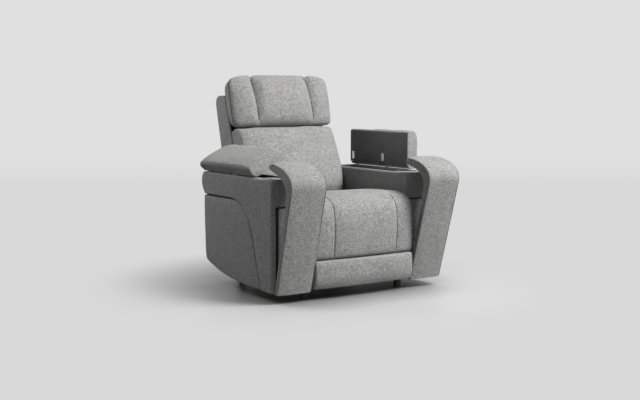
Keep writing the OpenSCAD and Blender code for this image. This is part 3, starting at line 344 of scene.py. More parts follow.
def slab(front, back, us, vs):
    """A closed form between the grids of points front(u, v) and back(u, v)."""
    n, m = len(us), len(vs)
    verts = [front(u, v) for v in vs for u in us] + [back(u, v) for v in vs for u in us]
    faces = []
    for j in range(m - 1):
        for i in range(n - 1):
            a = j * n + i
            faces.append((a, a + 1, a + n + 1, a + n))
            a += n * m
            faces.append((a, a + n, a + n + 1, a + 1))
    rim = list(range(n - 1)) + [j * n + n - 1 for j in range(m - 1)]
    rim += [(m - 1) * n + i for i in range(n - 1, 0, -1)] + [j * n for j in range(m - 1, 0, -1)]
    for a, b in zip(rim, rim[1:] + rim[:1]):
        faces.append((a, b, b + n * m, a + n * m))
    return verts, faces


def loft(rings):
    """A form through rings of equally many points, closed by a face at each end."""
    n = len(rings[0])
    verts = [p for r in rings for p in r]
    faces = []
    for j in range(len(rings) - 1):
        for i in range(n):
            a, b = j * n + i, j * n + (i + 1) % n
            faces.append((a, b, b + n, a + n))
    faces.append(tuple(range(n)))
    faces.append(tuple(reversed(range((len(rings) - 1) * n, len(rings) * n))))
    return verts, faces


def tube(path, r, sides=8):
    """A round cord along points, with closed ends."""
    around = [2 * math.pi * k / sides for k in range(sides)]
    rings = []
    for i, p in enumerate(path):
        a, b = path[max(0, i - 1)], path[min(len(path) - 1, i + 1)]
        t = (Vector(b) - Vector(a)).normalized()
        ref = Vector((1, 0, 0)) if abs(t.x) < 0.9 else Vector((0, 1, 0))
        s = t.cross(ref).normalized()
        w = t.cross(s)
        rings.append([Vector(p) + r * (math.cos(f) * s + math.sin(f) * w) for f in around])
    return loft(rings)


def box_part(lo, hi):
    v = [(x, y, z) for z in (lo[2], hi[2]) for y in (lo[1], hi[1]) for x in (lo[0], hi[0])]
    return v, [(0, 2, 3, 1), (4, 5, 7, 6), (0, 1, 5, 4), (2, 6, 7, 3), (0, 4, 6, 2), (1, 3, 7, 5)]


def side_box(side, xs, ys, zs):
    """A box on one side of the seat, its two places across given as distances from the middle."""
    x0, x1 = sorted(side * x for x in xs)
    return box_part((x0, ys[0], zs[0]), (x1, ys[1], zs[1]))


def spline(points, n):
    """n points evenly along a smooth curve through the given ones."""
    p = np.array(points, float)
    p = np.vstack([2 * p[0] - p[1], p, 2 * p[-1] - p[-2]])
    out = []
    for i in range(1, len(p) - 2):
        for t in np.linspace(0, 1, 24, endpoint=False):
            a, b, c, d = p[i - 1:i + 3]
            out.append(0.5 * (2 * b + (c - a) * t + (2 * a - 5 * b + 4 * c - d) * t * t
                              + (3 * b - a - 3 * c + d) * t ** 3))
    out.append(p[-2])
    out = np.array(out)
    s = np.concatenate([[0], np.cumsum(np.linalg.norm(np.diff(out, axis=0), axis=1))])
    at = np.linspace(0, s[-1], n)
    return np.stack([np.interp(at, s, out[:, k]) for k in range(out.shape[1])], 1)


def crowded(n, power=0.62):
    """Even steps from -1 to 1, drawn together towards both ends."""
    return [math.copysign(abs(t) ** power, t) for t in np.linspace(-1, 1, n)]


def crowded_share(n):
    """The same steps from 0 to 1."""
    return [(v + 1) / 2 for v in crowded(n)]


# Seat, whose outlines are (y, z): cover at the middle, cover at the sides, and the hollow under it
SEAT_BACK_EDGE = -404.5
SEAT_OUT = [(118, 464), (114, 470), (100, 474), (60, 480), (0, 486.5), (-80, 496.5), (-150, 504.5),
            (-230, 511.5), (-300, 513.5), (-350, 509.5), (-395, 497), (-424, 479), (-442, 455), (-452, 425),
            (-457, 385), (-457, 325), (-453, 262), (-448, 224), (-440, 205), (-425, 199)]
SEAT_SIDE = [(118, 456), (114, 462), (100, 466), (60, 472), (0, 479), (-80, 487), (-150, 493), (-225, 498),
             (-281, 500.5), (-322, 499), (-360, 492), (-392, 480), (-417, 462), (-430, 438), (-437, 400),
             (-439, 345), (-438, 275), (-434, 226), (-428, 207), (-420, 200)]
SEAT_IN = [(SEAT_BACK_EDGE, 200), (SEAT_BACK_EDGE, 400), (-436, 445), (-436.8, 458), (-432, 463.5),
           (-350, 463.5), (-350, 437), (118, 437)]
SEAT_HALF = 300.0
SEAT_STEPS = 96
# Places across from the right side to the middle, closer at the side and at the seam
SEAT_ACROSS = [-300, -298.6, -295.5, -290, -282, -272, -258, -240, -222, -208, -201, -197, -194, -192, -190,
               -188, -186, -183, -179, -172, -160, -140, -115, -90, -60, -30, 0]
HINGE_HALF = 155.0
SEAM_X = 190.0
# Where on the top of the seat its sewn seams begin, and over what they reach their full depth
SEAM_BEGINS_Y, SEAM_DEEPENS = -345, 45.0
SEAM_LINE_BEGINS_Y = -372


def seat_soft(p):
    return swell(2.6, 100.0, 11.0)(p) + swell(0.9, 40.0, 5.0)(p)


def seam_fade(y):
    """How much of the seam shows: none on top of the seat, all of it down its front."""
    return float(np.clip((SEAM_BEGINS_Y - y) / SEAM_DEEPENS, 0, 1))


def seat_cover():
    """The cover's mesh, and its outlines at the middle and at the sides."""
    c, s = spline(SEAT_OUT, SEAT_STEPS), spline(SEAT_SIDE, SEAT_STEPS)
    rings = []
    for x in SEAT_ACROSS + [-x for x in reversed(SEAT_ACROSS[:-1])]:
        u = x / SEAT_HALF
        pts = c + (s - c) * abs(u) ** 3
        t = np.gradient(pts, axis=0)
        t /= np.linalg.norm(t, axis=1)[:, None]
        inward = np.stack([-t[:, 1], t[:, 0]], 1)
        dip = 11.0 * (1 - falloff(u, 14.0))
        off = abs(x) - SEAM_X
        seam = 3.4 * math.exp(-(off / 4.5) ** 2) + 2.2 * math.exp(-(off / 22.0) ** 2)
        ring = []
        for k, p in enumerate(pts):
            edge = min(1.0, k / 4.0, (SEAT_STEPS - 1 - k) / 3.0)
            lump = seat_soft(Vector((x, p[0], p[1]))) * min(edge, (SEAT_HALF - abs(x)) / 12.0)
            q = p + inward[k] * ((dip + seam * seam_fade(p[0])) * edge - lump)
            ring.append((x, q[0], q[1]))
        # The hollow for the hinge ends beside the hinge
        beside = float(np.clip((abs(x) - HINGE_HALF) / 15.0, 0, 1))
        ring += [(x, lerp(y, max(y, SEAT_BACK_EDGE) + 14 * abs(u) ** 20, beside), z) for y, z in SEAT_IN]
        rings.append(ring)
    return loft(rings), c, s


def over_the_hinge(o):
    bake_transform(o)


seat_mesh, seat_mid, seat_edge = seat_cover()
seat = make("seat_cover", *seat_mesh, "fabric_front", None, None, ("seat_cushion", "chaise_pad"), 60)
over_the_hinge(seat)

# Sewn seam lines over the nose and down the front of the seat, as near-black cords of painted crease shade
for side, word in SIDES:
    x = side * SEAM_X
    w = abs(x / SEAT_HALF) ** 3
    line = []
    for k, p in enumerate(seat_mid[:-2]):
        if p[0] < SEAM_LINE_BEGINS_Y:
            q = p + (seat_edge[k] - p) * w
            a, b = seat_mid[k - 1], seat_mid[k + 1]
            t = (b - a) / np.linalg.norm(b - a)
            lump = seat_soft(Vector((x, p[0], p[1]))) * min(1.0, (SEAT_STEPS - 1 - k) / 3.0)
            d = 5.2 * seam_fade(p[0]) - lump
            line.append((x, q[0] - t[1] * d, q[1] + t[0] * d))
    seam = make("seat_seam_painted_shade_" + word, *tube(line, 1.5, 6), "fabric_seam", None, slot="fabric_front")
    over_the_hinge(seam)

# Front band under the seat
BAND_HALF, BAND_LOW, BAND_HIGH = 297.0, 57.0, 195.0
CHAISE_FRONT, BOARD_FRONT = -452.0, -404.0


def band_front(u, t):
    low, high = max(0.0, 1 - 2 * t), max(0.0, 2 * t - 1)
    y = CHAISE_FRONT - 8 + 16 * abs(u) ** 3 + 14 * (1 - falloff(high, 3.0)) + 20 * low ** 2.2
    y += 6 * (1 - falloff(u, 9.0))
    return BAND_HALF * u, y, lerp(BAND_LOW, BAND_HIGH, t)


def band_back(u, t):
    return BAND_HALF * u, BOARD_FRONT, lerp(BAND_LOW, BAND_HIGH, t)


band = make("front_band_cover", *slab(band_front, band_back, crowded(61), crowded_share(27)),
            "fabric_front", "footrest", 0.85, ("front_band",), 60)
bevel(band, 3.0, 3, 55.0, 50.0)
displace(band, swell(1.4, 80.0, 3.0))

# Back, laid out in the leaning plane through its pin that it shares with the headrest
LEAN = math.radians(18.5)
BACK_PIN_Y, BACK_PIN_Z = 262, 338


def lean(x, n, s):
    """A point x across, n behind the leaning plane and s up along it."""
    return (x, BACK_PIN_Y + n * math.cos(LEAN) + s * math.sin(LEAN),
            BACK_PIN_Z - n * math.sin(LEAN) + s * math.cos(LEAN))


BACK_HALF, BACK_REAR, BACK_FOOT, BACK_DEPTH = 298.0, -24, 80.0, 153
BACK_TOP_FRONT, BACK_TOP_REAR = 476.0, 472.0
# Middle and radius of the fan of pulls on the cushion's face
FAN_X, FAN_Z, FAN_RADIUS = 30, 520, 190
# Share of the depth, from the foot to the top
BACK_THICK = smooth_table([(0, 0.52), (0.03, 0.76), (0.1, 0.91), (0.2, 0.98), (0.3, 1), (0.45, 0.97),
                           (0.68, 0.91), (0.84, 0.85), (0.94, 0.76), (0.985, 0.62), (1, 0.42)])


def back_front(u, t):
    thick = BACK_DEPTH * look(BACK_THICK, t) * lerp(0.60, 1, falloff(u, 2.8))
    half = BACK_HALF + 4 * math.sin(math.pi * t)
    return lean(half * u, BACK_REAR - thick, lerp(BACK_FOOT, BACK_TOP_FRONT, t))


def back_rear(u, t):
    return lean(BACK_HALF * u, BACK_REAR, lerp(BACK_FOOT, BACK_TOP_REAR, t))


def back_soft(p):
    """Lumps, and shallow pulls that fan out from the middle of the seat line."""
    dx, dz = p.x - FAN_X, p.z - FAN_Z
    off = math.hypot(dz, dx) - FAN_RADIUS
    fan = math.sin(7 * math.atan2(dz, dx) + 0.6) * math.exp(-(off / 120.0) ** 2)
    return swell(3.0, 120.0, 21.0)(p) + swell(1.0, 45.0, 7.0)(p) + 1.1 * fan


back = make("back_cushion_cover", *slab(back_front, back_rear, crowded(67), crowded_share(59)),
            "fabric_front", "back", 0.8, ("back_cushion",), 60)
displace(back, back_soft)

# Headrest of three crowned panels with sewn channels and gusseted sides. Its sizes are half its width, and
# its foot, its length and the places of its crown and rear in the leaning plane.
HEAD = dict(w=316.0, foot=482.0, length=286.0, crown=-168.0, rear=-34.0)
CHANNEL_X = 177.0


def head_dip(u, v):
    """Depth of the sewn channels, which run out towards the foot."""
    d = abs(abs(u) * HEAD["w"] - CHANNEL_X)
    deep = lerp(0.5, 1.1, ((v + 1) / 2) ** 0.7) * lerp(0.35, 1.0, min(1.0, (v + 1) / 0.45))
    return deep * (9.0 * math.exp(-(d / 6.0) ** 2) + 23.0 * math.exp(-(d / 26.0) ** 2))


def head_point(u, v, sign):
    """A point of the face, or of the rear where sign is positive."""
    au, av = abs(u), abs(v)
    corner = 0.10 if v > 0 else 0.05
    x = HEAD["w"] * u * (1 - corner * av ** 9)
    dent = 9.0 * math.exp(-((abs(x) - CHANNEL_X) / 11.0) ** 2)
    s = HEAD["foot"] + HEAD["length"] * (1 + v * (1 - corner * au ** 9)) / 2
    s -= dent * max(0.0, (v - 0.5) / 0.5) ** 2
    edge = -97.0 - 13.0 * v
    if sign > 0:
        return lean(x, lerp(edge + 10, HEAD["rear"], falloff(u, 14.0) * falloff(v, 2.6)), s)
    rise = falloff(u, 2.15) * falloff(v, 3.0 if v <= 0 else 2.3)
    n = lerp(edge, HEAD["crown"], rise) + head_dip(u, v) * min(1.0, (1 - av) / 0.04)
    return lean(x, min(n, edge), s)


CHANNEL_STEPS = (-44, -36, -28, -21, -15, -10, -6, -3, 0, 3, 6, 10, 15, 21, 28, 36, 44)
us = sorted([u for u in crowded(61) if abs(abs(u) * HEAD["w"] - CHANNEL_X) > 48]
            + [side * (CHANNEL_X + d) / HEAD["w"] for side in (-1, 1) for d in CHANNEL_STEPS])
head_mesh = slab(lambda u, v: head_point(u, v, -1), lambda u, v: head_point(u, v, 1), us, crowded(55))
head = make("headrest_cover", *head_mesh, "fabric_front", "headrest", 0.85, ("headrest_cushion",), 70)
displace(head, lambda p: swell(2.2, 90.0, 31.0)(p) + swell(0.8, 35.0, 9.0)(p))
for side, word in SIDES:
    # Sewn channel beside the middle panel, as a near-black cord of painted crease shade
    line = []
    for v in np.linspace(-0.80, 0.93, 60):
        p = Vector(head_point(side * CHANNEL_X / HEAD["w"], v, -1))
        line.append(p + Vector(lean(0, -1.2, 0)) - Vector(lean(0, 0, 0)))
    make("headrest_seam_painted_shade_" + word, *tube(line, 1.8, 6), "fabric_seam", "headrest", slot="fabric_front")
    # Sewn edge between the face and the side gusset, as a near-black cord of painted crease shade
    edge = [Vector(head_point(side, v, -1)) + Vector((side * 0.6, 0, 0))
            for v in np.linspace(-0.97, 0.97, 70)]
    make("headrest_welt_painted_shade_" + word, *tube(edge, 1.7, 6), "fabric_seam", "headrest", slot="fabric_front")

# The shell takes the lighter tone of the cloth so that its sides show lighter: painted light.
panel("back_shell", "fabric_front", 11.0, 5, 30.0)
panel("rear_panel", "fabric_side", 3.0)

# Arms, with x as the distance from the seat's middle
ARM_IN, ARM_OUT = 308, 498
ARM_FRONT, ARM_REAR = -369, 342
ARM_LOW, ARM_TOP = 46.0, 595
BOX_FRONT = ARM_FRONT + 24
# The scroll's middle and half its width, and the outer edge of the board behind it
ARM_MID, ARM_HALF = 402.0, 97.5
FRONT_BOARD_OUT = 455.0
# The scroll's place ahead of the arm, thickness at its foot and above it, reach, and bulge at the nose
SCROLL_FOOT, FOOT_THICK, SCROLL_THICK, SCROLL_REACH, NOSE_SWELL, EDGE = 47, 26, 38, 198, 17, 3
KNEE_DROP = 120
SCROLL_BLOCK_HALF, SCROLL_BLOCK_TOP = 55, 108
SCROLL_LEAN = math.radians(15.4)
# Along a scroll from its foot to its tip: the end of its straight part, then where and over what the tip is
# rounded off
T_STRAIGHT = 0.4
T_TIP, T_TIP_LENGTH = 0.962, 0.038


def bezier(a, b, c, d, t):
    return (1 - t) ** 3 * a + 3 * (1 - t) ** 2 * t * b + 3 * (1 - t) * t * t * c + t ** 3 * d


scroll_low, scroll_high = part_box("arm_scroll_right")
SCROLL_TOP, NOSE_Y = scroll_high[2] * 1000, scroll_low[1] * 1000
knee_z = SCROLL_TOP - KNEE_DROP
knee_shift = (knee_z - ARM_LOW) * math.tan(SCROLL_LEAN)
knee_y = ARM_FRONT - SCROLL_FOOT - knee_shift
tip = np.array([NOSE_Y + SCROLL_REACH, SCROLL_TOP])
knee = np.array([knee_y, knee_z])
inner_knee = np.array([knee_y + SCROLL_THICK + NOSE_SWELL, knee_z - NOSE_SWELL - SCROLL_THICK - EDGE])


def outer_curve(t):
    """The scroll's outer face from the side, as (y, z)."""
    if t <= T_STRAIGHT:
        return lerp(np.array([knee_y + knee_shift, ARM_LOW]), knee, t / T_STRAIGHT)
    return bezier(knee, np.array([knee_y - NOSE_SWELL, lerp(knee_z, SCROLL_TOP, 0.62)]),
                  tip + np.array([-110.0, -3.0]), tip, (t - T_STRAIGHT) / (1 - T_STRAIGHT))


def inner_curve(t):
    """The scroll's inner face from the side, as (y, z)."""
    end = tip + np.array([3.0, -37.0])
    if t <= T_STRAIGHT:
        return lerp(np.array([knee_y + knee_shift + FOOT_THICK, ARM_LOW]), inner_knee, t / T_STRAIGHT)
    nose = np.array([inner_knee[0] - NOSE_SWELL - EDGE, lerp(inner_knee[1], SCROLL_TOP, 0.56)])
    return bezier(inner_knee, nose, tip + np.array([-84.0, -60.0]), end,
                  (t - T_STRAIGHT) / (1 - T_STRAIGHT))


# Brings the nose of the curve to the nose of the CAD scroll
SHIFT = NOSE_Y - min(outer_curve(t / 200.0)[0] for t in range(201))


def splay(t):
    """How far the scroll leans outwards at t."""
    return 8.0 * min(1.0, t / 0.6)


def scroll_ring(t, side):
    """The scroll's section at t, round at its edges and crowned on its outer face."""
    a, b = outer_curve(t), inner_curve(t)
    a, b = a + np.array([SHIFT, 0]), b + np.array([SHIFT, 0])
    mid, thick = (a + b) / 2, np.linalg.norm(b - a)
    if t > T_TIP:
        k = max(0.12, max(0.0, 1 - ((t - T_TIP) / T_TIP_LENGTH) ** 2) ** 0.5)
        a, b = mid + (a - mid) * k, mid + (b - mid) * k
        thick *= k
    d = (b - a) / thick
    ring = []
    r = min(11.0, thick * 0.42)

    def put(x, e):
        q = a + d * e
        ring.append((side * (ARM_MID + splay(t) + x), q[0], q[1]))

    def crown(x):
        return 8.0 * abs(x / ARM_HALF) ** 3.4 - 3.0

    for x in np.linspace(-ARM_HALF + r, ARM_HALF - r, 23):
        put(x, crown(x))
    c0 = crown(ARM_HALF - r)
    for k in range(1, 6):
        f = math.radians(18 * k)
        put(ARM_HALF - r + r * math.sin(f), c0 + r * (1 - math.cos(f)))
    for e in np.linspace(0.35, 0.75, 4):
        put(ARM_HALF + 0.8 * (1 - abs(2 * e - 1.1)), thick * e)
    for x in np.linspace(ARM_HALF, -ARM_HALF, 9):
        f = 5.0 * max(0.0, (abs(x) / ARM_HALF) ** 12)
        put(x, max(thick * 0.8, thick - f))
    for e in np.linspace(0.75, 0.35, 4):
        put(-ARM_HALF - 0.8 * (1 - abs(2 * e - 1.1)), thick * e)
    for k in range(5, 0, -1):
        f = math.radians(18 * k)
        put(-ARM_HALF + r - r * math.sin(f), c0 + r * (1 - math.cos(f)))
    return ring


def scroll(side, word):
    ts = list(np.linspace(0, T_TIP, 74))
    ts += [T_TIP + T_TIP_LENGTH * math.sin(math.radians(a)) for a in range(10, 91, 10)]
    o = make("arm_scroll_cover_" + word, *loft([scroll_ring(t, side) for t in ts]), "fabric_front",
             "carcass", 0.85, ("arm_scroll_" + word,), 60)
    displace(o, lambda p: swell(1.6, 85.0, 41.0 * side)(p) * min(1.0, max(0.0, (p.z - 50) / 60)))
    # The outer face takes the darker tone of the cloth and the inner face the darkest: painted shade by
    # facing.
    second_cloth(o, "fabric_side", lambda f: side * f.normal.x > 0.75)
    second_cloth(o, "fabric_painted_shade", lambda f: side * f.normal.x < -0.75)
    foot_y = knee_y + knee_shift + SHIFT + NOSE_SWELL / 2
    foot = side_box(side, (ARM_MID - SCROLL_BLOCK_HALF, ARM_MID + SCROLL_BLOCK_HALF), (foot_y, BOX_FRONT),
                    (ARM_LOW, SCROLL_BLOCK_TOP))
    block = make("arm_scroll_foot_" + word, *foot, "fabric_side", "carcass", None, (), 40, "fabric_front")
    bevel(block, 4.0)
    for tag, x in (("inner", -ARM_HALF + 2.6), ("outer", ARM_HALF - 2.6)):
        line = []
        for t in np.linspace(0.004, 0.955, 90):
            a, b = outer_curve(t), inner_curve(t)
            d = (b - a) / np.linalg.norm(b - a)
            q = a + d * 6.4 + np.array([SHIFT, 0])
            line.append((side * (ARM_MID + splay(t) + x), q[0], q[1]))
        make("scroll_welt_%s_%s" % (tag, word), *tube(line, 2.7), "fabric_welt", "carcass",
             slot="fabric_front")


# Side pad: crowned between its seam and the sweeping lower edge. The seam rises from its foot at a lean and
# bends round to the pad's top.
SWEEP_END, SWEEP_LENGTH, SWEEP_RISE = ARM_REAR - 26, 570.0, 85
PAD_TOP = 472.0
PAD_BACK, PAD_EDGE, PAD_CROWN = 478, 480, 25
SEAM_FOOT_Y = ARM_FRONT + 112.0
SEAM_LEAN_DEGREES = 17.5
SEAM_LEAN = math.radians(SEAM_LEAN_DEGREES)
BEND_RADIUS = 220
BEND_Z = PAD_TOP - BEND_RADIUS
BEND_Y = SEAM_FOOT_Y + (BEND_RADIUS + (BEND_Z - ARM_LOW) * math.sin(SEAM_LEAN)) / math.cos(SEAM_LEAN)
BEND_STARTS_Z = BEND_Z + BEND_RADIUS * math.sin(SEAM_LEAN)


def hem(y):
    return ARM_LOW + SWEEP_RISE * max(0.0, min(1.0, (y - (SWEEP_END - SWEEP_LENGTH)) / SWEEP_LENGTH)) ** 2.5


def seam_at(z):
    if z > BEND_STARTS_Z:
        return BEND_Y - math.sqrt(max(0.0, BEND_RADIUS ** 2 - (z - BEND_Z) ** 2))
    return SEAM_FOOT_Y + (z - ARM_LOW) * math.tan(SEAM_LEAN)


def pad_place(u, v):
    """The pad's (y, z), with u from the seam to the rear and v from the hem to the top."""
    s = (u + 1) / 2
    z = lerp(hem(lerp(SEAM_FOOT_Y, SWEEP_END, s)), PAD_TOP, (v + 1) / 2)
    rear = lerp(ARM_REAR - 20, ARM_REAR, (z - ARM_LOW) / (PAD_TOP - ARM_LOW))
    return lerp(seam_at(z), rear, s), z


def side_pad(side, word):
    def front(u, v):
        x = PAD_EDGE + PAD_CROWN * falloff(u, 5.0) * falloff(v, 5.0 if v > 0 else 6.0)
        x += 4 * (1 - u * u) * (1 - v * v)
        return side * x, *pad_place(u, v)

    def back(u, v):
        return side * PAD_BACK, *pad_place(u, v)

    o = make("arm_side_pad_cover_" + word, *slab(front, back, crowded(57, 0.55), crowded(47, 0.55)),
             "fabric_side", "carcass", 0.7, ("arm_side_pad_" + word,), 60)
    bevel(o, 2.5, 3, 50.0, 50.0)
    displace(o, swell(1.5, 110.0, 51.0 * side))


# Lids: board lined with dark cloth, boxed and crowned cushion on it. Their tables give a lid as it is closed.
LID = dict(y=-192.0, length=531.0, pin_x=480.0, pin_z=624.0)
LID_HINGES = (27.0, 307.0)


def lid_angle(side):
    """How far the lid stands open in the photograph."""
    return math.radians(26 if side < 0 else 90)


def about_pin(x, z, a):
    dx, dz = x - LID["pin_x"], z - LID["pin_z"]
    return (LID["pin_x"] + dx * math.cos(a) + dz * math.sin(a),
            LID["pin_z"] - dx * math.sin(a) + dz * math.cos(a))


def lid_turned(side, p):
    """The open place of a point of the closed lid."""
    x, z = about_pin(p[0], p[2], lid_angle(side))
    return side * x, p[1], z


def lid_back(side, p):
    """The closed place of a point of the open lid."""
    x, z = about_pin(side * p[0], p[2], -lid_angle(side))
    return x, p[1], z


def notch(o, side):
    """Cuts the slots that let the hinge tongues through."""
    eye, half = 8.5, 4.6
    for y in LID_HINGES:
        v, f = box_part((LID["pin_x"] - eye, y - half, 596), (513.0, y + half, LID["pin_z"] + eye))
        cut = from_millimetres("cut", [lid_turned(side, p) for p in v], f)
        tidy(cut)
        mod = o.modifiers.new("cut", "BOOLEAN")
        mod.operation = "DIFFERENCE"
        mod.solver = "EXACT"
        mod.object = cut
        applied(o)
        bpy.data.objects.remove(cut)
    tidy(o, 45.0)


LID_TOP = [(307, 601), (304.8, 610), (304.2, 622), (304.6, 634), (307.5, 646), (315, 657), (328, 664.5),
           (350, 668), (400, 669), (450, 667.5), (480, 665), (495, 662.5)]
LID_WALL = {"right": [(501, 661), (506.5, 658), (511, 652), (511.5, 645), (508.5, 636), (505.5, 626),
                      (503, 616), (501, 609.5), (499.5, 606.5)],
            "left": [(500.5, 660), (503.2, 656.5), (505, 648), (506, 634), (505, 620), (502.5, 611),
                     (500, 607)]}
# Underside between the ends, over the board, and at the ends, beside it
LID_FLOOR = [(489.5, 606.2), (470, 606.2), (400, 606.2), (340, 606.2), (314.2, 606.2), (314, 601)]
LID_FLOOR_END = [(489.5, 606.2), (489, 600), (400, 600), (340, 600), (318, 600), (314, 600.5)]
# Where the lid's height and the squareness of its ends are measured from, and the ends' length of underside
LID_BASE, LID_END = 607, 5.2
LID_MID, LID_END_NARROWING = 406, 0.965
# The board's places across and its heights, and how far its ends stand inside the pad's
BOARD_IN, BOARD_OUT, BOARD_LOW, BOARD_TOP, BOARD_INSET = 314.6, 489.2, 598, 606, 6
# Height, rounding of the ends, how square the ends are, drop of the crown towards the ends, reach inwards
# and rearwards
LID_FORM = {"right": dict(full=1.14, r=20.0, square=0.62, drop=9.0, reach=0.0, rear=5.0),
            "left": dict(full=1.0, r=12.0, square=0.84, drop=0.0, reach=4.5, rear=0.0)}


def lid(side, word):
    body = "lid_" + word
    form = LID_FORM[word]
    r = form["r"]
    upper = [tuple(p) for p in spline(LID_TOP, 40)] + LID_WALL[word]
    upper = [(x, lerp(LID_BASE, z, form["full"]) if z > LID_BASE else z) for x, z in upper]
    y0, y1 = LID["y"], LID["y"] + LID["length"] + form["rear"]

    def ring(y, low):
        e = max(0.0, r - (y - y0), r - (y1 - y)) / r
        e = 1 - math.sqrt(max(0.0, 1 - e * e))
        out = []
        away = max(0.0, (abs(2 * (y - y0) / (y1 - y0) - 1) - 0.6) / 0.4)
        # The reach inwards ends before the back cushion, which the closed lid passes
        reach = form["reach"] * min(1.0, max(0.0, (170 - y) / 60))
        for x, z in upper + low:
            if z > LID_BASE:
                x -= reach * max(0.0, (330 - x) / 26)
                z -= form["drop"] * away ** 2 * (z - LID_BASE) / 60
                z = lerp(z, LID_BASE + (z - LID_BASE) * form["square"], e)
            x = lerp(x, LID_MID + (x - LID_MID) * LID_END_NARROWING, e)
            out.append(lid_turned(side, (x, y, z)))
        return out

    def puff(p):
        q = lid_back(side, p)
        lift = min(1.0, max(0.0, (q[2] - 612) / 20)) * (0.3 if q[0] > 499 else 1.0)
        return lift * (swell(2.4, 80.0, 61.0 * side)(p) + swell(0.8, 36.0, 17.0)(p))

    rounded = [y0 + r * (1 - math.cos(math.radians(a))) for a in (0, 12, 24, 36, 48, 60, 72, 84, 90)]
    front_end = [y for y in rounded if y < y0 + LID_END] + [y0 + LID_END]
    rear_end = [y1 - LID_END] + [y0 + y1 - y for y in reversed(rounded) if y < y0 + LID_END]
    near = [y0 + 5.4] + [y for y in rounded if y > y0 + 7]
    between = near + list(np.linspace(y0 + r, y1 - r, 48)[1:-1]) + [y0 + y1 - y for y in reversed(near)]
    rings = [ring(y, LID_FLOOR_END) for y in front_end] + [ring(y, LID_FLOOR) for y in between]
    rings += [ring(y, LID_FLOOR_END) for y in rear_end]
    o = make("lid_pad_cover_" + word, *loft(rings), "fabric_front", body, 0.85, ("lid_pad_" + word,), 60)
    displace(o, puff)
    c, s = math.cos(-lid_angle(side)), math.sin(-lid_angle(side))
    # The outer wall, as the lid lies closed, takes the darker tone of the cloth: painted shade by facing.
    second_cloth(o, "fabric_side", lambda f: side * f.normal.x * c + f.normal.z * s > 0.6)
    notch(o, side)
    v, f = box_part((BOARD_IN, y0 + BOARD_INSET, BOARD_LOW), (BOARD_OUT, y1 - BOARD_INSET, BOARD_TOP))
    board = make("lid_board_cover_" + word, [lid_turned(side, p) for p in v], f, "fabric_dark", body, None,
                 ("lid_board_" + word,), 30)
    bevel(board, 2.0, 2)
    notch(board, side)


# The heights between which the cover is pulled under at the rear, and where that begins
TUCK_LOW, TUCK_HIGH, TUCK_FROM_Y = 474, 542, 290


def tuck_rear(o):
    """Rounds the rear lower corner of the side's upper part, where its cover is pulled under."""
    bm = bmesh.new()
    bm.from_mesh(o.data)
    for z in np.linspace(0.486, 0.542, 8):
        bmesh.ops.bisect_plane(bm, geom=bm.verts[:] + bm.edges[:] + bm.faces[:], plane_co=(0, 0, z),
                               plane_no=(0, 0, 1))
    for v in bm.verts:
        p = v.co * 1000
        if abs(p.x) > PAD_EDGE - 1 and p.z > TUCK_LOW and p.y > TUCK_FROM_Y:
            behind = min(1.0, (p.y - TUCK_FROM_Y) / 60)
            v.co.y -= 0.031 * max(0.0, (TUCK_HIGH - p.z) / 62) ** 1.7 * behind
    bm.to_mesh(o.data)
    bm.free()


def arm_cover(word):
    """Side, front, inner face and deck as one upholstered cover with rolled edges."""
    names = [n + word for n in ("arm_outer_panel_", "arm_front_pad_", "arm_inner_panel_", "arm_top_deck_")]
    parts = [copied(n, "part") for n in names]
    for t in parts:
        tidy(t, 30.0, 1e-5)
    o = parts[0]
    o.name = "arm_cover_" + word
    for t in parts[1:]:
        mod = o.modifiers.new("join", "BOOLEAN")
        mod.operation = "UNION"
        mod.solver = "EXACT"
        mod.object = t
        applied(o)
        bpy.data.objects.remove(t)
    bm = bmesh.new()
    bm.from_mesh(o.data)
    whole_faces(bm, 2e-5)
    for v in bm.verts:
        if abs(v.co.x) * 1000 > ARM_OUT - 1:
            v.co.x += math.copysign(0.004, v.co.x)
    # How far each edge is rolled over, as a share of the bevel: most along the top and down the front corner
    # outside, least round the opening and beside the scroll
    weight = bm.edges.layers.float.new("bevel_weight_edge")
    for e in bm.edges:
        if len(e.link_faces) != 2 or e.calc_face_angle(0) < math.radians(32):
            continue
        a, b = e.verts[0].co * 1000, e.verts[1].co * 1000
        m = (a + b) / 2
        x = abs(m.x)
        outside, in_front, rear = x > ARM_OUT - 2, m.y < ARM_FRONT + 2, m.y > ARM_REAR - 12
        edged = outside or in_front or m.z > ARM_TOP - 1.5 or x < ARM_IN + 1
        opening = m.z > ARM_TOP - 13 and 325 < x < 475 and m.y > BOX_FRONT
        corner = abs(a.z - b.z) > 60 and in_front and outside
        top = m.z > ARM_TOP - 7 and (outside or in_front)
        low = outside and m.z < ARM_TOP - 10 and not rear
        rolled = 0.14 if opening or not edged else 0.45 if low else 0.6
        e[weight] = 1.0 if corner or top else rolled
        if abs(m.y - ARM_FRONT) < 1 and m.z < 460 and x < PAD_EDGE:
            e[weight] = 0.2
    bm.to_mesh(o.data)
    bm.free()
    mod = o.modifiers.new("bevel", "BEVEL")
    mod.width, mod.segments, mod.limit_method = 0.020, 6, "WEIGHT"
    applied(o)
    tuck_rear(o)
    tidy(o, 40.0)
    o.data.materials.clear()
    o.data.materials.append(M["fabric_side"])
    # Faces turned to the front take the lighter tone of the cloth. The inner faces and the inner strip of the
    # deck take the darkest. This is painted light and shade by facing and place.
    second_cloth(o, "fabric_front", lambda f: f.normal.y < -0.7 and f.center.y < -0.35)
    second_cloth(o, "fabric_painted_shade", lambda f: abs(f.center.x) < 0.335
                 and (abs(f.normal.x) > 0.7 or f.center.y > -0.15 and f.normal.z > 0))
    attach(o, "carcass")
    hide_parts(*names)


# Front and rear of the near-black box of painted shade in the slot beside the board behind the scroll
SLOT_Y = (-348.0, -345.2)


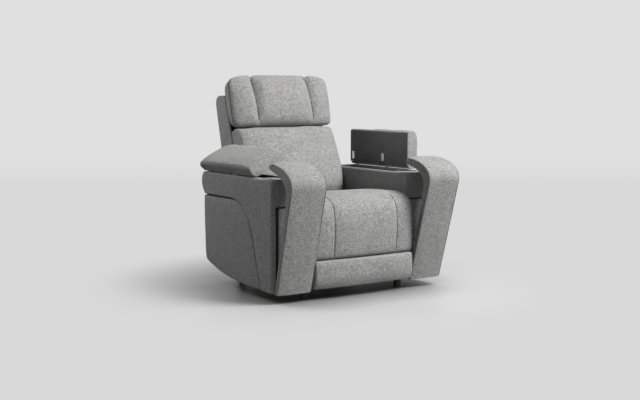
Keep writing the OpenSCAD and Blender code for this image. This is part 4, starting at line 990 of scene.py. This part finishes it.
def painted_shade_cords_and_foot_cover(side, word):
    """Near-black cords and a box of painted shade in the sewn groove, the slot and along the front, and a
    plain cover over the foot of the frame.
    """
    groove = [(seam_at(z) - 3.2, z) for z in np.linspace(60, BEND_STARTS_Z, 24)]
    for a in np.linspace(180 - SEAM_LEAN_DEGREES, 90, 22):
        groove.append((BEND_Y + (BEND_RADIUS + 3) * math.cos(math.radians(a)),
                       BEND_Z + (BEND_RADIUS + 3) * math.sin(math.radians(a))))
    groove += [(y, PAD_TOP + 3) for y in np.linspace(BEND_Y, ARM_REAR - 24, 20)[1:]]
    line = [(side * (PAD_EDGE + 4.5), y, z) for y, z in groove]
    make("arm_groove_painted_shade_" + word, *tube(line, 3.6, 6), "fabric_seam", "carcass", slot="fabric_side")
    # The slot's shade is painted as a near-black box.
    slot = side_box(side, (FRONT_BOARD_OUT - 4, PAD_EDGE - 1), SLOT_Y, (SCROLL_BLOCK_TOP, 462.0))
    make("arm_slot_painted_shade_" + word, *slot, "fabric_seam", "carcass", slot="fabric_side")
    below = side_box(side, (331.0, 478.5), (SLOT_Y[0] - 1, SLOT_Y[1]), (50.0, 112.0))
    foot = make("arm_foot_lining_" + word, *below, "fabric_side", "carcass")
    bevel(foot, 1.2, 2)
    # The shadow line under the front of the deck is painted as a near-black cord.
    front = [(side * x, -352.5, 459.5) for x in np.linspace(325, 475, 9)]
    make("arm_front_painted_shade_" + word, *tube(front, 3.6, 6), "fabric_seam", "carcass", slot="fabric_side")


def front_board(side, word):
    """The padded board behind the scroll, with a dark gap between it and the side."""
    lo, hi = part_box("arm_front_panel_" + word)
    near = min(abs(lo[0]), abs(hi[0])) * 1000
    board = side_box(side, (near, FRONT_BOARD_OUT), (lo[1] * 1000, hi[1] * 1000),
                     (lo[2] * 1000, hi[2] * 1000))
    # The board lies in the shade of the scroll and takes the lighter tone of the cloth: painted light.
    o = make("arm_front_panel_cover_" + word, *board, "fabric_front", "carcass", 0.7,
             ("arm_front_panel_" + word,))
    bevel(o, 4.0)


for side, word in SIDES:
    scroll(side, word)
    side_pad(side, word)
    lid(side, word)
    arm_cover(word)
    painted_shade_cords_and_foot_cover(side, word)
    front_board(side, word)
    panel("arm_rear_panel_" + word, "fabric_side", 2.5)


# Studio
def plainly_seen(nt):
    """1 for camera, mirror and glass rays, 0 for the light that falls on the seat."""
    path = node(nt, "LightPath").outputs
    return times(nt, times(nt, path["Is Camera Ray"], path["Is Glossy Ray"], "MAXIMUM"),
                 path["Is Transmission Ray"], "MAXIMUM")


def studio_paper(name):
    """Pale paper lit by the lamps and, for the camera and reflections, a plain glowing tone far off. For
    those rays both carry a painted contact shadow near the seat, taken from ambient occlusion.
    """
    m, nt, b = material(name, Roughness=0.38, Specular_IOR_Level=0.22)
    where = node(nt, "NewGeometry").outputs["Position"]
    flat = node(nt, "VectorMath", {0: where, 1: (1, 1, 0)}, operation="MULTIPLY").outputs[0]
    far = node(nt, "VectorMath", {0: flat}, operation="LENGTH").outputs["Value"]
    fade = node(nt, "MapRange", {"Value": far, "From Min": 0.5, "From Max": 1.3},
                interpolation_type="SMOOTHSTEP").outputs[0]
    high = node(nt, "SeparateXYZ", {0: where}).outputs["Z"]
    tone = node(nt, "MapRange", {"Value": high, "From Min": 0.0, "From Max": 0.35, "To Min": 0.69,
                                 "To Max": 0.745}, interpolation_type="SMOOTHSTEP").outputs[0]
    # Painted contact shadow: ambient occlusion darkens the paper's colour and glow near the seat.
    near = node(nt, "AmbientOcclusion", {"Distance": 0.38}, samples=8).outputs["AO"]
    shade = node(nt, "MapRange", {"Value": near, "From Min": 0.10, "From Max": 0.88, "To Min": 0.04,
                                  "To Max": 1.0}).outputs[0]
    plain = tinted(nt, (1.0, 1.0, 1.0), times(nt, tone, shade))
    glow = node(nt, "Emission", {"Color": plain, "Strength": 1.0})
    seen = plainly_seen(nt)
    bright = node(nt, "MapRange", {"Value": seen, "To Min": 0.13,
                                   "To Max": times(nt, shade, 0.62)}).outputs[0]
    nt.links.new(tinted(nt, (1.0, 1.0, 1.0), bright), b.inputs["Base Color"])
    mix = node(nt, "MixShader", {0: times(nt, seen, fade), 1: b.outputs[0], 2: glow.outputs[0]})
    nt.links.new(mix.outputs[0], nt.nodes["Material Output"].inputs["Surface"])
    return m


# The paper lies square to the camera. Its profile, in metres, is flat and then bends up behind the seat.
PAPER_FLAT, PAPER_BEND, PAPER_HALF, PAPER_TOP = 4.6, 2.0, 16.0, 9.0
profile = [(-9.0, 0.0)]
for degrees in range(0, 91, 6):
    a = math.radians(degrees)
    profile.append((PAPER_FLAT + PAPER_BEND * math.sin(a), PAPER_BEND - PAPER_BEND * math.cos(a)))
profile.append((PAPER_FLAT + PAPER_BEND, PAPER_TOP))
c, s = math.cos(CAMERA_TURN), math.sin(CAMERA_TURN)
paper_verts = [(x * c - d * s, x * s + d * c, z) for x in (-PAPER_HALF, PAPER_HALF) for d, z in profile]
k = len(profile)
floor_me = bpy.data.meshes.new("studio_floor")
floor_me.from_pydata(paper_verts, [], [(i, i + 1, i + 1 + k, i + k) for i in range(k - 1)])
floor = linked("studio_floor", floor_me)
for p in floor_me.polygons:
    p.use_smooth = True
floor_me.materials.append(studio_paper("studio_paper"))


def lamp(name, place, aim, size, watts):
    """A soft square lamp turned towards a point."""
    data = bpy.data.lights.new(name, "AREA")
    data.shape = "RECTANGLE"
    data.size = data.size_y = size
    data.energy = watts
    o = linked(name, data)
    o.location = place
    o.rotation_euler = (Vector(aim) - Vector(place)).to_track_quat("-Z", "Y").to_euler()


lamp("key", (1.9, -3.25, 3.9), (0, 0, 0.5), 2.2, 316)
lamp("fill", (-2.2, 1.7, 2.54), (0, 0, 0.6), 1.2, 32)
world = bpy.data.worlds.new("studio")
world.use_nodes = True
bpy.context.scene.world = world
air = world.node_tree
backdrop = air.nodes["Background"]
backdrop.inputs["Color"].default_value = (1.0, 1.0, 1.0, 1)
strength = node(air, "MapRange", {"Value": plainly_seen(air), "To Min": 0.20, "To Max": 0.72})
air.links.new(strength.outputs[0], backdrop.inputs["Strength"])
